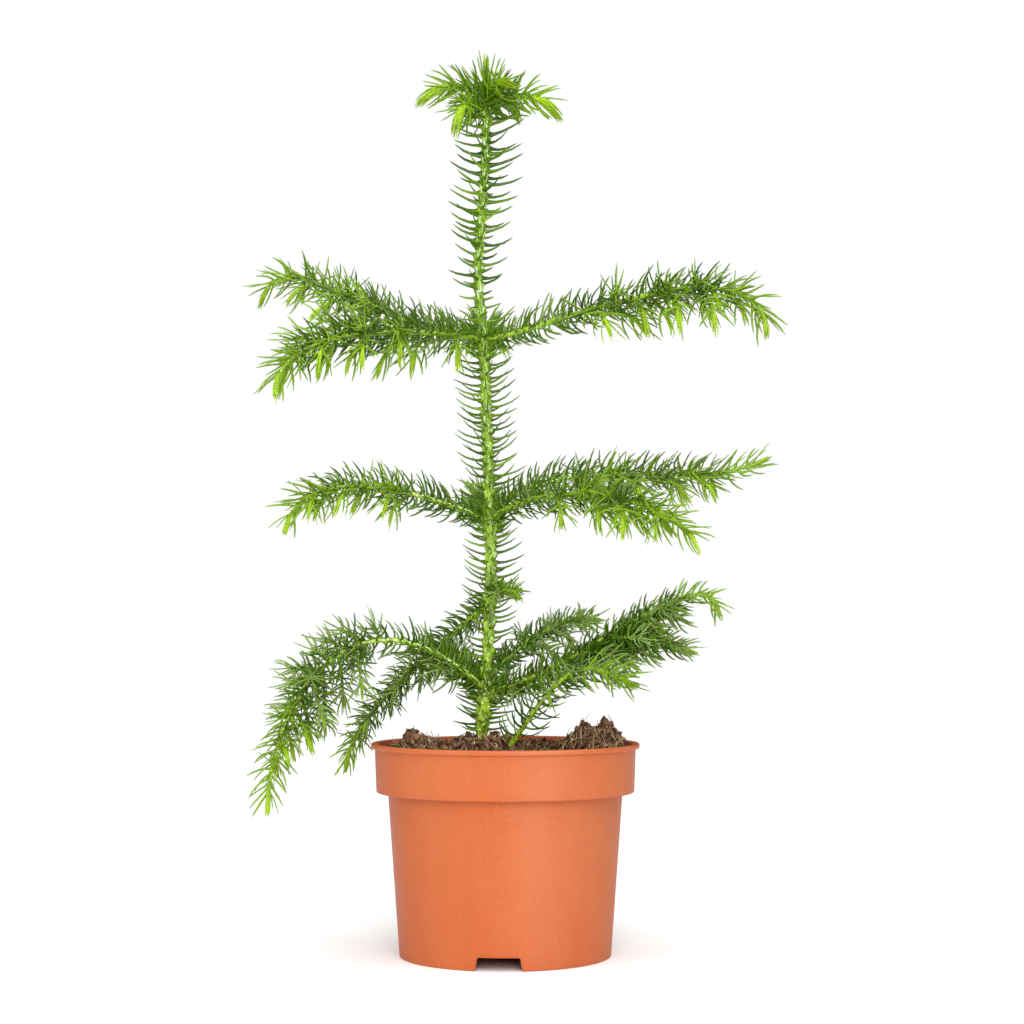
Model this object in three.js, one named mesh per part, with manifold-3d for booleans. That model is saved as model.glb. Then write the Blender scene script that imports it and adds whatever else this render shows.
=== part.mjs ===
// A young Norfolk Island pine in a round plastic nursery pot, as an assembly of separate solids.
// Millimetres, +Z up, front toward -Y, origin at the middle of the pot's underside.
import * as THREE from "three";
import { mergeVertices } from "three/addons/utils/BufferGeometryUtils.js";
import loadManifold from "manifold-3d";

const { clamp, degToRad, inverseLerp, lerp, mapLinear } = THREE.MathUtils;
const wasm = await loadManifold();
wasm.setup();

// Clear gap left between solids that meet
const GAP = 0.3;

// Colour and roughness of each kind of piece
const FINISH = {
  pot: { color: 0xc4623a, roughness: 0.42 },
  soil: { color: 0x4a3428, roughness: 0.95 },
  trunk: { color: 0x86b03c, roughness: 0.5 },
  bough: { color: 0x6a9a3a, roughness: 0.5 },
  foliage: { color: 0x3f7a33, roughness: 0.45 },
  shoot: { color: 0x8fc23c, roughness: 0.45 },
};

// Pot
const POT = {
  height: 94.2,
  flangeRadius: 60,
  flangeDepth: 2.4,
  bandTopRadius: 58.3,
  bandFootRadius: 57.6,
  bandFoot: 72.4,
  bodyTopRadius: 52.4,
  bodyFootRadius: 47.1,
  wall: 1.4,
  floorRaise: 6.6,
  notchCount: 3,
  notchWidth: 20.4,
  notchNarrowing: 1.8,
  notchHeight: 5.8,
  notchAzimuth: -93.4,
  drainRadius: 4,
  drainRing: 36,
  segments: 40,
};

// Soil
const SOIL = {
  level: 89.5,
  segments: 28,
  mounds: [
    { x: -11, y: 0, rise: 8.6, spread: 19 },
    { x: 43, y: 4, rise: 17.5, spread: 15 },
    { x: -41, y: 6, rise: 9.5, spread: 11 },
    { x: 2, y: -10, rise: 2.4, spread: 9 },
  ],
  seatDepth: 1,
  seatRadius: 5,
};

// Trunk: height against sideways lean, and height against radius
const TRUNK = {
  top: 393,
  lean: [
    [90, -11.4], [125, -8.5], [157, -6.9], [180, -6.5], [216, -7.6],
    [273, -9.8], [306, -12.2], [361, -9], [396, -8.8],
  ],
  radius: [[90, 3.6], [98, 3.1], [110, 2.5], [200, 2.2], [300, 1.9], [384, 1.7], [396, 1]],
  sides: 6,
  rings: 22,
};

// Needles along the trunk, by height band
const TRUNK_NEEDLES = [
  { from: 101, to: 113, spacing: 3, length: 12.5 },
  { from: 113, to: 150, spacing: 5, length: 12.5 },
  { from: 150, to: 200, spacing: 3.8, length: 14.5 },
  { from: 200, to: 278, spacing: 3.2, length: 16 },
  { from: 282, to: 299, spacing: 3.2, length: 7 },
  { from: 300, to: 384, spacing: 3.2, length: 19 },
];

// Boughs: root height on the trunk, bearing, reach and rise of the tip, and the angle and pull of the course
// at its root and tip. Masses begin at the given shares of the course, and twigs are dealt out over them.
const BOUGHS = [
  {
    name: "upper_right", height: 275, azimuth: -15, reach: 128, rise: -4,
    launch: 9, launchPull: 0.26, end: -96, endPull: 0.38, masses: [0.3], twigs: 8, twigLength: 28,
  },
  {
    name: "upper_left_front", height: 275, azimuth: 213, reach: 105, rise: -33,
    launch: 8, launchPull: 0.25, end: -94, endPull: 0.33, masses: [0.24], twigs: 7, twigLength: 28,
  },
  {
    name: "upper_left_back", height: 278, azimuth: 147, reach: 130, rise: 23,
    launch: 4, launchPull: 0.46, end: -76, endPull: 0.29, masses: [0.28], twigs: 7, twigLength: 25,
  },
  {
    name: "upper_back", height: 273, azimuth: 90, reach: 72, rise: 6,
    launch: 22, launchPull: 0.4, end: -65, endPull: 0.3, masses: [0.3], twigs: 5, twigLength: 18,
  },
  {
    name: "middle_left", height: 194, azimuth: 188, reach: 92, rise: -7,
    launch: 22, launchPull: 0.5, end: -82, endPull: 0.34, masses: [0.3], twigs: 6, twigLength: 24,
  },
  {
    name: "middle_right_front", height: 194, azimuth: -40, reach: 115, rise: -17,
    launch: 32, launchPull: 0.32, end: -69, endPull: 0.23, masses: [0.28], twigs: 7, twigLength: 26,
  },
  {
    name: "middle_right_back", height: 198, azimuth: 22, reach: 143, rise: 28,
    launch: 35, launchPull: 0.4, end: 24, endPull: 0.36, masses: [0.26], twigs: 8, twigLength: 26,
  },
  {
    name: "middle_back", height: 192, azimuth: 97, reach: 72, rise: 4,
    launch: 24, launchPull: 0.4, end: -65, endPull: 0.3, masses: [0.3], twigs: 5, twigLength: 17,
  },
  {
    name: "lower_left_arch", height: 118, azimuth: 193, reach: 97, rise: -49,
    launch: 43, launchPull: 0.77, end: -90, endPull: 0.36, masses: [0.27, 0.54], twigs: 11, twigLength: 35,
    spread: 58, dip: 42, droop: 0.6, shortening: 0.58,
  },
  {
    name: "lower_left_drop", height: 158, azimuth: 160, reach: 71, rise: -77,
    launch: -45, launchPull: 0.25, end: -80, endPull: 0.3, masses: [0.36], twigs: 5, twigLength: 22,
  },
  {
    name: "lower_right", height: 116, azimuth: -8, reach: 105, rise: 35,
    launch: 13, launchPull: 0.42, end: -81, endPull: 0.28, masses: [0.26], twigs: 9, twigLength: 40,
    spread: 31, dip: 58, droop: 0.24,
  },
  {
    name: "lower_right_back", height: 120, azimuth: 42, reach: 72, rise: 29,
    launch: 49, launchPull: 0.31, end: -8, endPull: 0.3, masses: [0.3], twigs: 5, twigLength: 22,
  },
  {
    name: "lower_back", height: 114, azimuth: 112, reach: 74, rise: 6,
    launch: 44, launchPull: 0.42, end: -70, endPull: 0.3, masses: [0.3], twigs: 5, twigLength: 21,
  },
  {
    name: "lower_front", height: 160, azimuth: -64, reach: 28, rise: -1,
    launch: 21, launchPull: 0.36, end: -39, endPull: 0.25, masses: [0.4], twigs: 2, twigLength: 14,
  },
];

// Shoot that rises from the soil beside the trunk
const BASAL = {
  name: "basal_shoot", x: 2, y: -10, azimuth: -35, reach: 64, rise: 29,
  launch: 52, launchPull: 0.69, end: -23, endPull: 0.42, masses: [0.36], twigs: 4, twigLength: 17,
};

// Young shoots of the top whorl, growing straight from the trunk
const TOP_SHOOTS = [
  {
    name: "top_left", height: 386, azimuth: 186, reach: 30, rise: -2,
    launch: 40, launchPull: 0.4, end: -50, endPull: 0.35,
  },
  {
    name: "top_right", height: 382, azimuth: -8, reach: 33, rise: -5,
    launch: 30, launchPull: 0.45, end: -60, endPull: 0.35,
  },
  {
    name: "top_front_left", height: 382, azimuth: 238, reach: 25, rise: -16,
    launch: 15, launchPull: 0.45, end: -80, endPull: 0.35,
  },
  {
    name: "top_front_right", height: 386, azimuth: -62, reach: 25, rise: 1,
    launch: 30, launchPull: 0.4, end: -30, endPull: 0.35,
  },
  {
    name: "top_back_left", height: 382, azimuth: 124, reach: 27, rise: -4,
    launch: 35, launchPull: 0.4, end: -60, endPull: 0.35,
  },
  {
    name: "top_back_right", height: 386, azimuth: 56, reach: 27, rise: -4,
    launch: 35, launchPull: 0.4, end: -60, endPull: 0.35,
  },
];

// Bough wood, which stops short of the tip of its course to leave room for the last needles
const WOOD = {
  limbRootRadius: 1.8,
  limbTipRadius: 0.9,
  twigRootRadius: 1,
  twigTipRadius: 0.8,
  shootRadius: 1.2,
  tipBack: 8.5,
  sides: 3,
};

// How side twigs leave their stem, dip below its plane, droop and shorten, unless a bough has its own habit
const TWIG = {
  firstShare: 0.05,
  lastShare: 0.74,
  spread: 48,
  spreadJitter: 12,
  dip: 12,
  droop: 0.74,
  droopJitter: 0.18,
  elbow: 0.55,
  shortening: 0.35,
  lengthJitter: 0.15,
};

// Needles of the trunk: angle from the trunk at the root and the tip, and how deep the root is sunk
const TRUNK_NEEDLE = {
  rootLean: 88,
  tipLean: 52,
  radius: 0.95,
  sink: 1.3,
  start: 0.6,
  leaderCount: 6,
  leaderLength: 20,
  leaderRootLean: 22,
  leaderTipLean: 6,
};

// Needles drawn out of limbs, stems and twigs: the lean closes toward the tip of the stem
const NEEDLE = {
  rootLean: 64,
  tipLean: 24,
  shoulder: 0.3,
  radius: 1,
  lengthJitter: 0.15,
  clearance: 0.4,
  limb: { spacing: 7, length: 9 },
  stem: { spacing: 6, length: 13 },
  twig: { spacing: 6, length: 12.5 },
  shoot: { spacing: 3.6, length: 11 },
};

const UP = new THREE.Vector3(0, 0, 1);
const GOLDEN_TURN = Math.PI * (3 - Math.sqrt(5));

// A repeatable run of values from 0 to 1
function seededRun(seed) {
  let state = seed;
  return () => {
    state = (state * 1664525 + 1013904223) % 4294967296;
    return state / 4294967296;
  };
}

// Value at a height on a smooth line through [height, value] stations
function smoothValue(stations, height) {
  const last = stations.length - 2;
  const found = stations.findIndex((station, i) => i > 0 && height <= station[0]);
  const i = found < 0 ? last : found - 1;
  const slope = (a, b) => (stations[b][1] - stations[a][1]) / (stations[b][0] - stations[a][0]);
  const [z0, v0] = stations[i];
  const [z1, v1] = stations[i + 1];
  const span = z1 - z0;
  const slope0 = slope(Math.max(i - 1, 0), i + 1);
  const slope1 = slope(i, Math.min(i + 2, last + 1));
  const t = (height - z0) / span;
  const t2 = t * t;
  const t3 = t2 * t;
  return (2 * t3 - 3 * t2 + 1) * v0 + (t3 - 2 * t2 + t) * span * slope0
    + (3 * t2 - 2 * t3) * v1 + (t3 - t2) * span * slope1;
}

function trunkPoint(height) {
  return new THREE.Vector3(smoothValue(TRUNK.lean, height), 0, height);
}

function soilHeight(x, y) {
  return SOIL.mounds.reduce((height, mound) => {
    const distance = Math.hypot(x - mound.x, y - mound.y) / mound.spread;
    return height + mound.rise * Math.exp(-distance * distance);
  }, SOIL.level + 0.7 * Math.sin(0.23 * x + 1) * Math.cos(0.19 * y));
}

// Centre line of the trunk between two heights
class TrunkLine extends THREE.Curve {
  constructor(from, to) {
    super();
    this.from = from;
    this.to = to;
  }

  getPoint(t, target = new THREE.Vector3()) {
    return target.copy(trunkPoint(lerp(this.from, this.to, t)));
  }
}

// A closed solid from a geometry: shared corners joined, collapsed faces dropped, faces turned outward
function solidOf(geometry) {
  const bare = new THREE.BufferGeometry();
  bare.setAttribute("position", geometry.getAttribute("position"));
  bare.setIndex(geometry.getIndex());
  const merged = mergeVertices(bare, 1e-4);
  const position = merged.getAttribute("position");
  const index = merged.getIndex().array;
  const corners = [0, 1, 2].map(() => new THREE.Vector3());
  const faces = [];
  let volume = 0;
  for (let i = 0; i < index.length; i += 3) {
    const face = [index[i], index[i + 1], index[i + 2]];
    if (new Set(face).size === 3) {
      faces.push(face);
      face.forEach((corner, k) => corners[k].fromBufferAttribute(position, corner));
      volume += corners[0].dot(corners[1].clone().cross(corners[2]));
    }
  }
  const turned = volume < 0 ? faces.map(([a, b, c]) => [a, c, b]) : faces;
  return new wasm.Manifold(new wasm.Mesh({
    numProp: 3,
    vertProperties: new Float32Array(position.array),
    triVerts: new Uint32Array(turned.flat()),
  }));
}

// Solids fused into one body: loose scraps are dropped and sealed hollows filled
function fuse(solids) {
  const joined = solids.reduce((body, solid) => body.add(solid));
  return joined.decompose().reduce((a, b) => (a.volume() > b.volume() ? a : b));
}

function meshOf(name, solid, finish) {
  const { numProp, vertProperties, triVerts } = solid.getMesh();
  const points = new Float32Array((vertProperties.length / numProp) * 3);
  for (let i = 0; i < points.length; i++) {
    points[i] = vertProperties[Math.floor(i / 3) * numProp + (i % 3)];
  }
  const geometry = new THREE.BufferGeometry();
  geometry.setAttribute("position", new THREE.BufferAttribute(points, 3));
  geometry.setIndex(new THREE.BufferAttribute(new Uint32Array(triVerts), 1));
  geometry.computeVertexNormals();
  const mesh = new THREE.Mesh(geometry, new THREE.MeshStandardMaterial({ ...finish, metalness: 0 }));
  mesh.name = name;
  return mesh;
}

// Lays an upright unit cylinder or cone along a share of a route, at a radius that changes along it
function bendAlong(geometry, route, from, to, radiusAt) {
  geometry.rotateX(Math.PI / 2);
  const position = geometry.getAttribute("position");
  const corner = new THREE.Vector3();
  for (let i = 0; i < position.count; i++) {
    corner.fromBufferAttribute(position, i);
    const share = corner.z + 0.5;
    const t = lerp(from, to, share);
    const along = route.curve.getTangentAt(t);
    const across = new THREE.Vector3().crossVectors(along, route.side);
    const place = route.curve.getPointAt(t);
    place.addScaledVector(route.side, corner.x * radiusAt(share));
    place.addScaledVector(across, corner.y * radiusAt(share));
    position.setXYZ(i, place.x, place.y, place.z);
  }
  return geometry;
}

function limbSolid(route, from, to, radiusAt, sides, rings) {
  return solidOf(bendAlong(new THREE.CylinderGeometry(1, 1, 1, sides, rings), route, from, to, radiusAt));
}

// Course of a bough in its own upright plane, from a root to the tip
function boughRoute(plan, root) {
  const out = new THREE.Vector3(Math.cos(degToRad(plan.azimuth)), Math.sin(degToRad(plan.azimuth)), 0);
  const heading = (degrees) => out.clone().multiplyScalar(Math.cos(degToRad(degrees)))
    .addScaledVector(UP, Math.sin(degToRad(degrees)));
  const span = Math.hypot(plan.reach, plan.rise);
  const tip = root.clone().addScaledVector(out, plan.reach).addScaledVector(UP, plan.rise);
  const afterRoot = root.clone().addScaledVector(heading(plan.launch), plan.launchPull * span);
  const beforeTip = tip.clone().addScaledVector(heading(plan.end), -plan.endPull * span);
  return {
    curve: new THREE.CubicBezierCurve3(root, afterRoot, beforeTip, tip),
    side: new THREE.Vector3(-out.y, out.x, 0),
  };
}

// A course that leaves a root one way and turns another way at its elbow
function elbowRoute(root, leave, turn, length, elbow) {
  const bend = root.clone().addScaledVector(leave, length * elbow);
  const tip = bend.clone().addScaledVector(turn, length * (1 - elbow));
  return {
    curve: new THREE.QuadraticBezierCurve3(root, bend, tip),
    side: new THREE.Vector3().crossVectors(leave, turn).normalize(),
  };
}

// A side twig: it leaves the stem sideways and forward, then hangs
function twigRoute(route, share, hand, length, habit, random) {
  const along = route.curve.getTangentAt(share);
  const spread = habit.spread + TWIG.spreadJitter * (2 * random() - 1);
  const sideward = awayFrom(route, along, degToRad(hand < 0 ? 180 + habit.dip : -habit.dip));
  const leave = leaning(along, sideward, spread);
  const droop = clamp(habit.droop + TWIG.droopJitter * (2 * random() - 1), 0, 1);
  const turn = leave.clone().multiplyScalar(1 - droop).addScaledVector(UP, -droop).normalize();
  const reach = length * (1 + TWIG.lengthJitter * (2 * random() - 1));
  return elbowRoute(route.curve.getPointAt(share), leave, turn, reach, TWIG.elbow);
}

// Direction away from a stem at a turn round it, and a direction leaning from the stem's own by an angle
function awayFrom(route, along, turn) {
  const across = new THREE.Vector3().crossVectors(along, route.side);
  return route.side.clone().multiplyScalar(Math.cos(turn)).addScaledVector(across, Math.sin(turn));
}

function leaning(along, away, degrees) {
  return along.clone().multiplyScalar(Math.cos(degToRad(degrees)))
    .addScaledVector(away, Math.sin(degToRad(degrees)));
}

// Space taken so far, as straight runs with a radius and an owner
const taken = [];

function runsOf(route, from, to, radius, count) {
  const stops = Array.from({ length: count + 1 }, (unused, i) => {
    return route.curve.getPointAt(lerp(from, to, i / count));
  });
  return stops.slice(1).map((stop, i) => ({ line: new THREE.Line3(stops[i], stop), radius }));
}

function take(owner, runs) {
  runs.forEach((run) => taken.push({ ...run, owner }));
}

function aboveGround(point) {
  const radial = Math.hypot(point.x, point.y);
  const ground = Math.max(POT.height, soilHeight(point.x, point.y));
  return radial > POT.flangeRadius + 1.6 || point.z > ground + 1.6;
}

function isClear(owner, runs) {
  return runs.every(({ line, radius }) => {
    const room = (other) => {
      const gap = radius + other.radius + NEEDLE.clearance;
      return other.owner === owner || line.distanceSqToLine3(other.line) > gap * gap;
    };
    return aboveGround(line.start) && aboveGround(line.end) && taken.every(room);
  });
}

// A curved needle on the trunk, rooted inside it, or nothing where there is no room
function trunkNeedle(share, turn, rootLean, tipLean, length) {
  const along = trunkRoute.curve.getTangentAt(share);
  const away = awayFrom(trunkRoute, along, turn);
  const root = trunkRoute.curve.getPointAt(share).addScaledVector(away, TRUNK_NEEDLE.start);
  const route = elbowRoute(root, leaning(along, away, rootLean), leaning(along, away, tipLean), length, 0.5);
  const outside = runsOf(route, 0.05, 1, TRUNK_NEEDLE.radius, 3);
  if (!isClear("trunk", outside)) {
    return [];
  }
  take("trunk", outside);
  const cone = new THREE.ConeGeometry(1, 1, 3, 2);
  return [solidOf(bendAlong(cone, route, 0, 1, () => TRUNK_NEEDLE.radius))];
}

// A tapering stem whose needles are drawn out of one corner of every second ring, turned by the golden angle
function needledStem(owner, stem, random) {
  const { route, from, to, radiusAt, spacing, length, pointed } = stem;
  const count = Math.max(2, Math.round((route.curve.getLength() * (to - from)) / spacing));
  const rings = 2 * count + 1;
  const firstTurn = 2 * Math.PI * random();
  const cornerTurn = (2 * Math.PI) / WOOD.sides;
  const turnOf = (ring) => firstTurn + (GOLDEN_TURN - cornerTurn) * Math.ceil(ring / 2);
  const shareOf = (ring) => {
    const share = (Math.floor((ring - 1) / 2) + (ring % 2 ? 0.5 : 0.5 + NEEDLE.shoulder)) / count;
    return clamp(share, 0, 1);
  };
  const placeOf = (ring, turn, radius) => {
    const t = lerp(from, to, shareOf(ring));
    const away = awayFrom(route, route.curve.getTangentAt(t), turn);
    return route.curve.getPointAt(t).addScaledVector(away, radius);
  };
  const tips = new Map();
  for (let ring = 1; ring < rings; ring += 2) {
    const share = shareOf(ring);
    const corner = Math.floor(ring / 2) % WOOD.sides;
    const turn = turnOf(ring) + corner * cornerTurn;
    const along = route.curve.getTangentAt(lerp(from, to, share));
    const lean = lerp(NEEDLE.rootLean, pointed ? NEEDLE.tipLean : NEEDLE.rootLean, share);
    const size = length * (1 + NEEDLE.lengthJitter * (2 * random() - 1));
    const root = placeOf(ring, turn, radiusAt(share));
    const tip = root.clone().addScaledVector(leaning(along, awayFrom(route, along, turn), lean), size);
    const foot = [ring - 1, ring, ring + 1].map((beside) => placeOf(beside, turn, radiusAt(shareOf(beside))));
    const runs = foot.map((place) => ({ line: new THREE.Line3(place, tip), radius: NEEDLE.radius }));
    if (isClear(owner, runs)) {
      take(owner, runs);
      tips.set(`${ring},${corner}`, tip);
    }
  }
  const geometry = new THREE.CylinderGeometry(1, 1, 1, WOOD.sides, rings);
  const position = geometry.getAttribute("position");
  for (let i = 0; i < position.count; i++) {
    const ring = Math.round((position.getY(i) + 0.5) * rings);
    const turn = Math.atan2(position.getX(i), position.getZ(i));
    const corner = Math.round(turn / cornerTurn + WOOD.sides) % WOOD.sides;
    const centre = Math.hypot(position.getX(i), position.getZ(i)) < 0.5 || (pointed && ring === rings);
    const radius = centre ? 0 : radiusAt(shareOf(ring));
    const place = tips.get(`${ring},${corner}`) ?? placeOf(ring, turnOf(ring) + corner * cornerTurn, radius);
    position.setXYZ(i, place.x, place.y, place.z);
  }
  return solidOf(geometry);
}

function everywhere(radius) {
  return () => radius;
}

function tapering(from, to) {
  return (share) => lerp(from, to, share);
}

// Pot: one turned wall with a raised floor, a band and a flange, notched at the foot and drained
function potSolid() {
  const { wall } = POT;
  const floorTop = POT.floorRaise + wall;
  const bodyRadius = (z) => mapLinear(z, 0, POT.bandFoot, POT.bodyFootRadius, POT.bodyTopRadius);
  const flangeFoot = POT.height - POT.flangeDepth;
  const profile = [
    [0, POT.floorRaise],
    [POT.bodyFootRadius - wall - 0.6, POT.floorRaise],
    [POT.bodyFootRadius - wall - 0.6, 0],
    [POT.bodyFootRadius - 0.5, 0],
    [bodyRadius(1.2), 1.2],
    [bodyRadius(POT.bandFoot - 1), POT.bandFoot - 1],
    [POT.bodyTopRadius + 1, POT.bandFoot - 0.2],
    [POT.bandFootRadius - 0.8, POT.bandFoot],
    [POT.bandFootRadius, POT.bandFoot + 0.8],
    [POT.bandTopRadius, flangeFoot - 0.4],
    [POT.flangeRadius - 0.6, flangeFoot],
    [POT.flangeRadius, flangeFoot + 0.7],
    [POT.flangeRadius, POT.height - 0.6],
    [POT.flangeRadius - 0.7, POT.height],
    [POT.bandTopRadius - wall, POT.height],
    [POT.bandFootRadius - wall, POT.bandFoot + wall + 0.4],
    [POT.bodyTopRadius - wall, POT.bandFoot + wall - 0.4],
    [bodyRadius(floorTop) - wall, floorTop],
    [0, floorTop],
  ].map(([radius, z]) => new THREE.Vector2(radius, z));
  let pot = solidOf(new THREE.LatheGeometry(profile, POT.segments).rotateX(Math.PI / 2));
  const half = POT.notchWidth / 2;
  const opening = new THREE.Shape([
    new THREE.Vector2(-half - 0.2, -1),
    new THREE.Vector2(half + 0.2, -1),
    new THREE.Vector2(half - POT.notchNarrowing / 2, POT.notchHeight),
    new THREE.Vector2(POT.notchNarrowing / 2 - half, POT.notchHeight),
  ]);
  for (let i = 0; i < POT.notchCount; i++) {
    const azimuth = degToRad(POT.notchAzimuth + (360 * i) / POT.notchCount);
    const notch = new THREE.ExtrudeGeometry(opening, { depth: 12, bevelEnabled: false });
    notch.rotateX(Math.PI / 2).rotateZ(Math.PI / 2).translate(POT.bodyFootRadius - 8, 0, 0).rotateZ(azimuth);
    const drain = new THREE.CylinderGeometry(POT.drainRadius, POT.drainRadius, 4 * wall, 14);
    drain.rotateX(Math.PI / 2).translate(POT.drainRing, 0, POT.floorRaise + wall / 2).rotateZ(azimuth);
    pot = pot.subtract(solidOf(notch)).subtract(solidOf(drain));
  }
  return pot;
}

// Soil: fills the pot with a gap all round, mounded on top, with flat seats for what stands in it
function soilSolid(seats) {
  const inner = (z) => mapLinear(z, 0, POT.bandFoot, POT.bodyFootRadius, POT.bodyTopRadius)
    - POT.wall - 2 * GAP;
  const floor = POT.floorRaise + POT.wall + GAP;
  const rim = POT.bandFootRadius - POT.wall - GAP;
  const shoulder = POT.bandFoot + POT.wall + 0.4 + GAP;
  const topRings = [1, 0.92, 0.82, 0.7, 0.57, 0.44, 0.3, 0.15, 0].map((share) => share * rim);
  const profile = [
    new THREE.Vector2(0, floor),
    new THREE.Vector2(inner(floor) - 1, floor),
    new THREE.Vector2(inner(floor), floor + 1),
    new THREE.Vector2(inner(shoulder) - 0.4, shoulder + 0.2),
    new THREE.Vector2(rim - 0.2, shoulder + 1),
    ...topRings.map((radius) => new THREE.Vector2(radius, SOIL.level)),
  ];
  const geometry = new THREE.LatheGeometry(profile, SOIL.segments).rotateX(Math.PI / 2);
  const position = geometry.getAttribute("position");
  for (let i = 0; i < position.count; i++) {
    if (Math.abs(position.getZ(i) - SOIL.level) < 1e-3) {
      position.setZ(i, soilHeight(position.getX(i), position.getY(i)));
    }
  }
  return seats.reduce((soil, seat) => {
    const bore = new THREE.CylinderGeometry(SOIL.seatRadius, SOIL.seatRadius, 30, 12).rotateX(Math.PI / 2);
    return soil.subtract(solidOf(bore.translate(seat.x, seat.y, seat.z + 15)));
  }, solidOf(geometry));
}

// Everything below a level, to cut a foot flat
function groundBlock(level) {
  return solidOf(new THREE.BoxGeometry(60, 60, 60).translate(0, 0, level - 30));
}

function seatAt(x, y) {
  return new THREE.Vector3(x, y, soilHeight(x, y) - SOIL.seatDepth);
}

// Wood of a foliage mass: a stem over a share of a route, with side twigs dealt left and right
function growMass(owner, stem, twigs, twigLength, habit, random) {
  const { route, from, to, radiusAt } = stem;
  take(owner, runsOf(route, from, to, radiusAt(0), 8));
  const sideTwigs = [];
  for (let i = 0; i < twigs; i++) {
    const along = twigs > 1 ? i / (twigs - 1) : 0.5;
    const share = lerp(from, to, lerp(TWIG.firstShare, TWIG.lastShare, along));
    const length = twigLength * (1 - habit.shortening * along);
    const twig = twigRoute(route, share, i % 2 ? 1 : -1, length, habit, random);
    const outside = runsOf(twig, 0.2, 1, WOOD.twigRootRadius, 3);
    if (isClear(owner, outside)) {
      take(owner, outside);
      sideTwigs.push(twig);
    }
  }
  return { owner, stem, sideTwigs, random };
}

// The mass as one body with its needles, kept clear of a neighbouring limb where one is given
function massSolid({ owner, stem, sideTwigs, random }, cutter) {
  const wood = needledStem(owner, stem, random);
  const twigs = sideTwigs.map((route) => needledStem(owner, {
    ...NEEDLE.twig,
    route,
    from: 0,
    to: 1,
    radiusAt: tapering(WOOD.twigRootRadius, WOOD.twigTipRadius),
    pointed: true,
  }, random));
  return fuse([cutter ? wood.subtract(cutter) : wood, ...twigs]);
}

// Ground seats of the trunk and the basal shoot
const trunkSeat = seatAt(trunkPoint(97.5).x, 0);
const basalSeat = seatAt(BASAL.x, BASAL.y);
const trunkFoot = trunkSeat.z + GAP;
const trunkRoute = { curve: new TrunkLine(trunkFoot - 4, TRUNK.top), side: new THREE.Vector3(0, 1, 0) };
const trunkHeight = (share) => lerp(trunkFoot - 4, TRUNK.top, share);
const trunkRadius = (share) => smoothValue(TRUNK.radius, trunkHeight(share));
const trunkShare = (height) => inverseLerp(trunkFoot - 4, TRUNK.top, height);
const clearRadius = (share) => trunkRadius(share) + GAP;
const aroundTrunk = limbSolid(trunkRoute, 0, 1, clearRadius, TRUNK.sides, TRUNK.rings);
take("trunk", runsOf(trunkRoute, 0.02, 1, TRUNK.radius[3][1], 14));

// Wood of every bough and shoot, placed before any needle
const boughs = [...BOUGHS, BASAL].map((plan, i) => {
  const random = seededRun(211 + 37 * i);
  const fromSoil = plan === BASAL;
  const root = fromSoil ? basalSeat.clone().addScaledVector(UP, -2) : trunkPoint(plan.height);
  const route = boughRoute(plan, root);
  const length = route.curve.getLength();
  const stemEnd = 1 - WOOD.tipBack / length;
  const radiusAt = (t) => lerp(WOOD.limbRootRadius, WOOD.limbTipRadius, t);
  const owner = `bough_${plan.name}`;
  const limbEnd = plan.masses[0] - GAP / length;
  const limbRadius = (share) => radiusAt(share * limbEnd);
  const limb = { ...NEEDLE.limb, route, from: 0, to: limbEnd, radiusAt: limbRadius, pointed: false };
  take(owner, runsOf(route, 0, limbEnd, radiusAt(0), 6));
  const masses = plan.masses.map((from, k) => {
    const last = k === plan.masses.length - 1;
    const to = last ? stemEnd : plan.masses[k + 1] - GAP / length;
    const twigs = Math.round((plan.twigs * (to - from)) / (stemEnd - plan.masses[0]));
    const massRadius = (share) => radiusAt(lerp(from, to, share));
    const stem = { ...NEEDLE.stem, route, from, to, radiusAt: massRadius, pointed: last };
    const name = `foliage_${plan.name}${["", "_fall"][k]}`;
    return growMass(name, stem, twigs, plan.twigLength, { ...TWIG, ...plan }, random);
  });
  return { owner, limb, fromSoil, masses, random };
});
const shoots = TOP_SHOOTS.map((plan, i) => {
  const route = boughRoute(plan, trunkPoint(plan.height));
  const radiusAt = everywhere(WOOD.shootRadius);
  const stemEnd = 1 - WOOD.tipBack / route.curve.getLength();
  const stem = { ...NEEDLE.shoot, route, from: 0, to: stemEnd, radiusAt, pointed: true };
  return growMass(`shoot_${plan.name}`, stem, 0, 0, TWIG, seededRun(977 + 41 * i));
});

// Trunk with its needles
const trunkRandom = seededRun(53);
const trunkNeedles = TRUNK_NEEDLES.flatMap((band) => {
  const count = Math.round((band.to - band.from) / band.spacing);
  return Array.from({ length: count }, (unused, i) => {
    const share = trunkShare(lerp(band.from, band.to, (i + 0.5) / count));
    const length = TRUNK_NEEDLE.sink + band.length * (1 + NEEDLE.lengthJitter * (2 * trunkRandom() - 1));
    return trunkNeedle(share, i * GOLDEN_TURN, TRUNK_NEEDLE.rootLean, TRUNK_NEEDLE.tipLean, length);
  }).flat();
});
const leaderNeedles = Array.from({ length: TRUNK_NEEDLE.leaderCount }, (unused, i) => {
  const turn = (2 * Math.PI * i) / TRUNK_NEEDLE.leaderCount;
  const { leaderRootLean, leaderTipLean, leaderLength } = TRUNK_NEEDLE;
  return trunkNeedle(0.985, turn, leaderRootLean, leaderTipLean, leaderLength);
}).flat();
const trunkWood = limbSolid(trunkRoute, 0, 1, trunkRadius, TRUNK.sides, TRUNK.rings);
const trunk = fuse([trunkWood.subtract(groundBlock(trunkFoot)), ...trunkNeedles, ...leaderNeedles]);

// Assembly
const planting = new THREE.Group();
planting.name = "planting";
planting.add(meshOf("pot", potSolid(), FINISH.pot));
planting.add(meshOf("soil", soilSolid([trunkSeat, basalSeat]), FINISH.soil));

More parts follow.
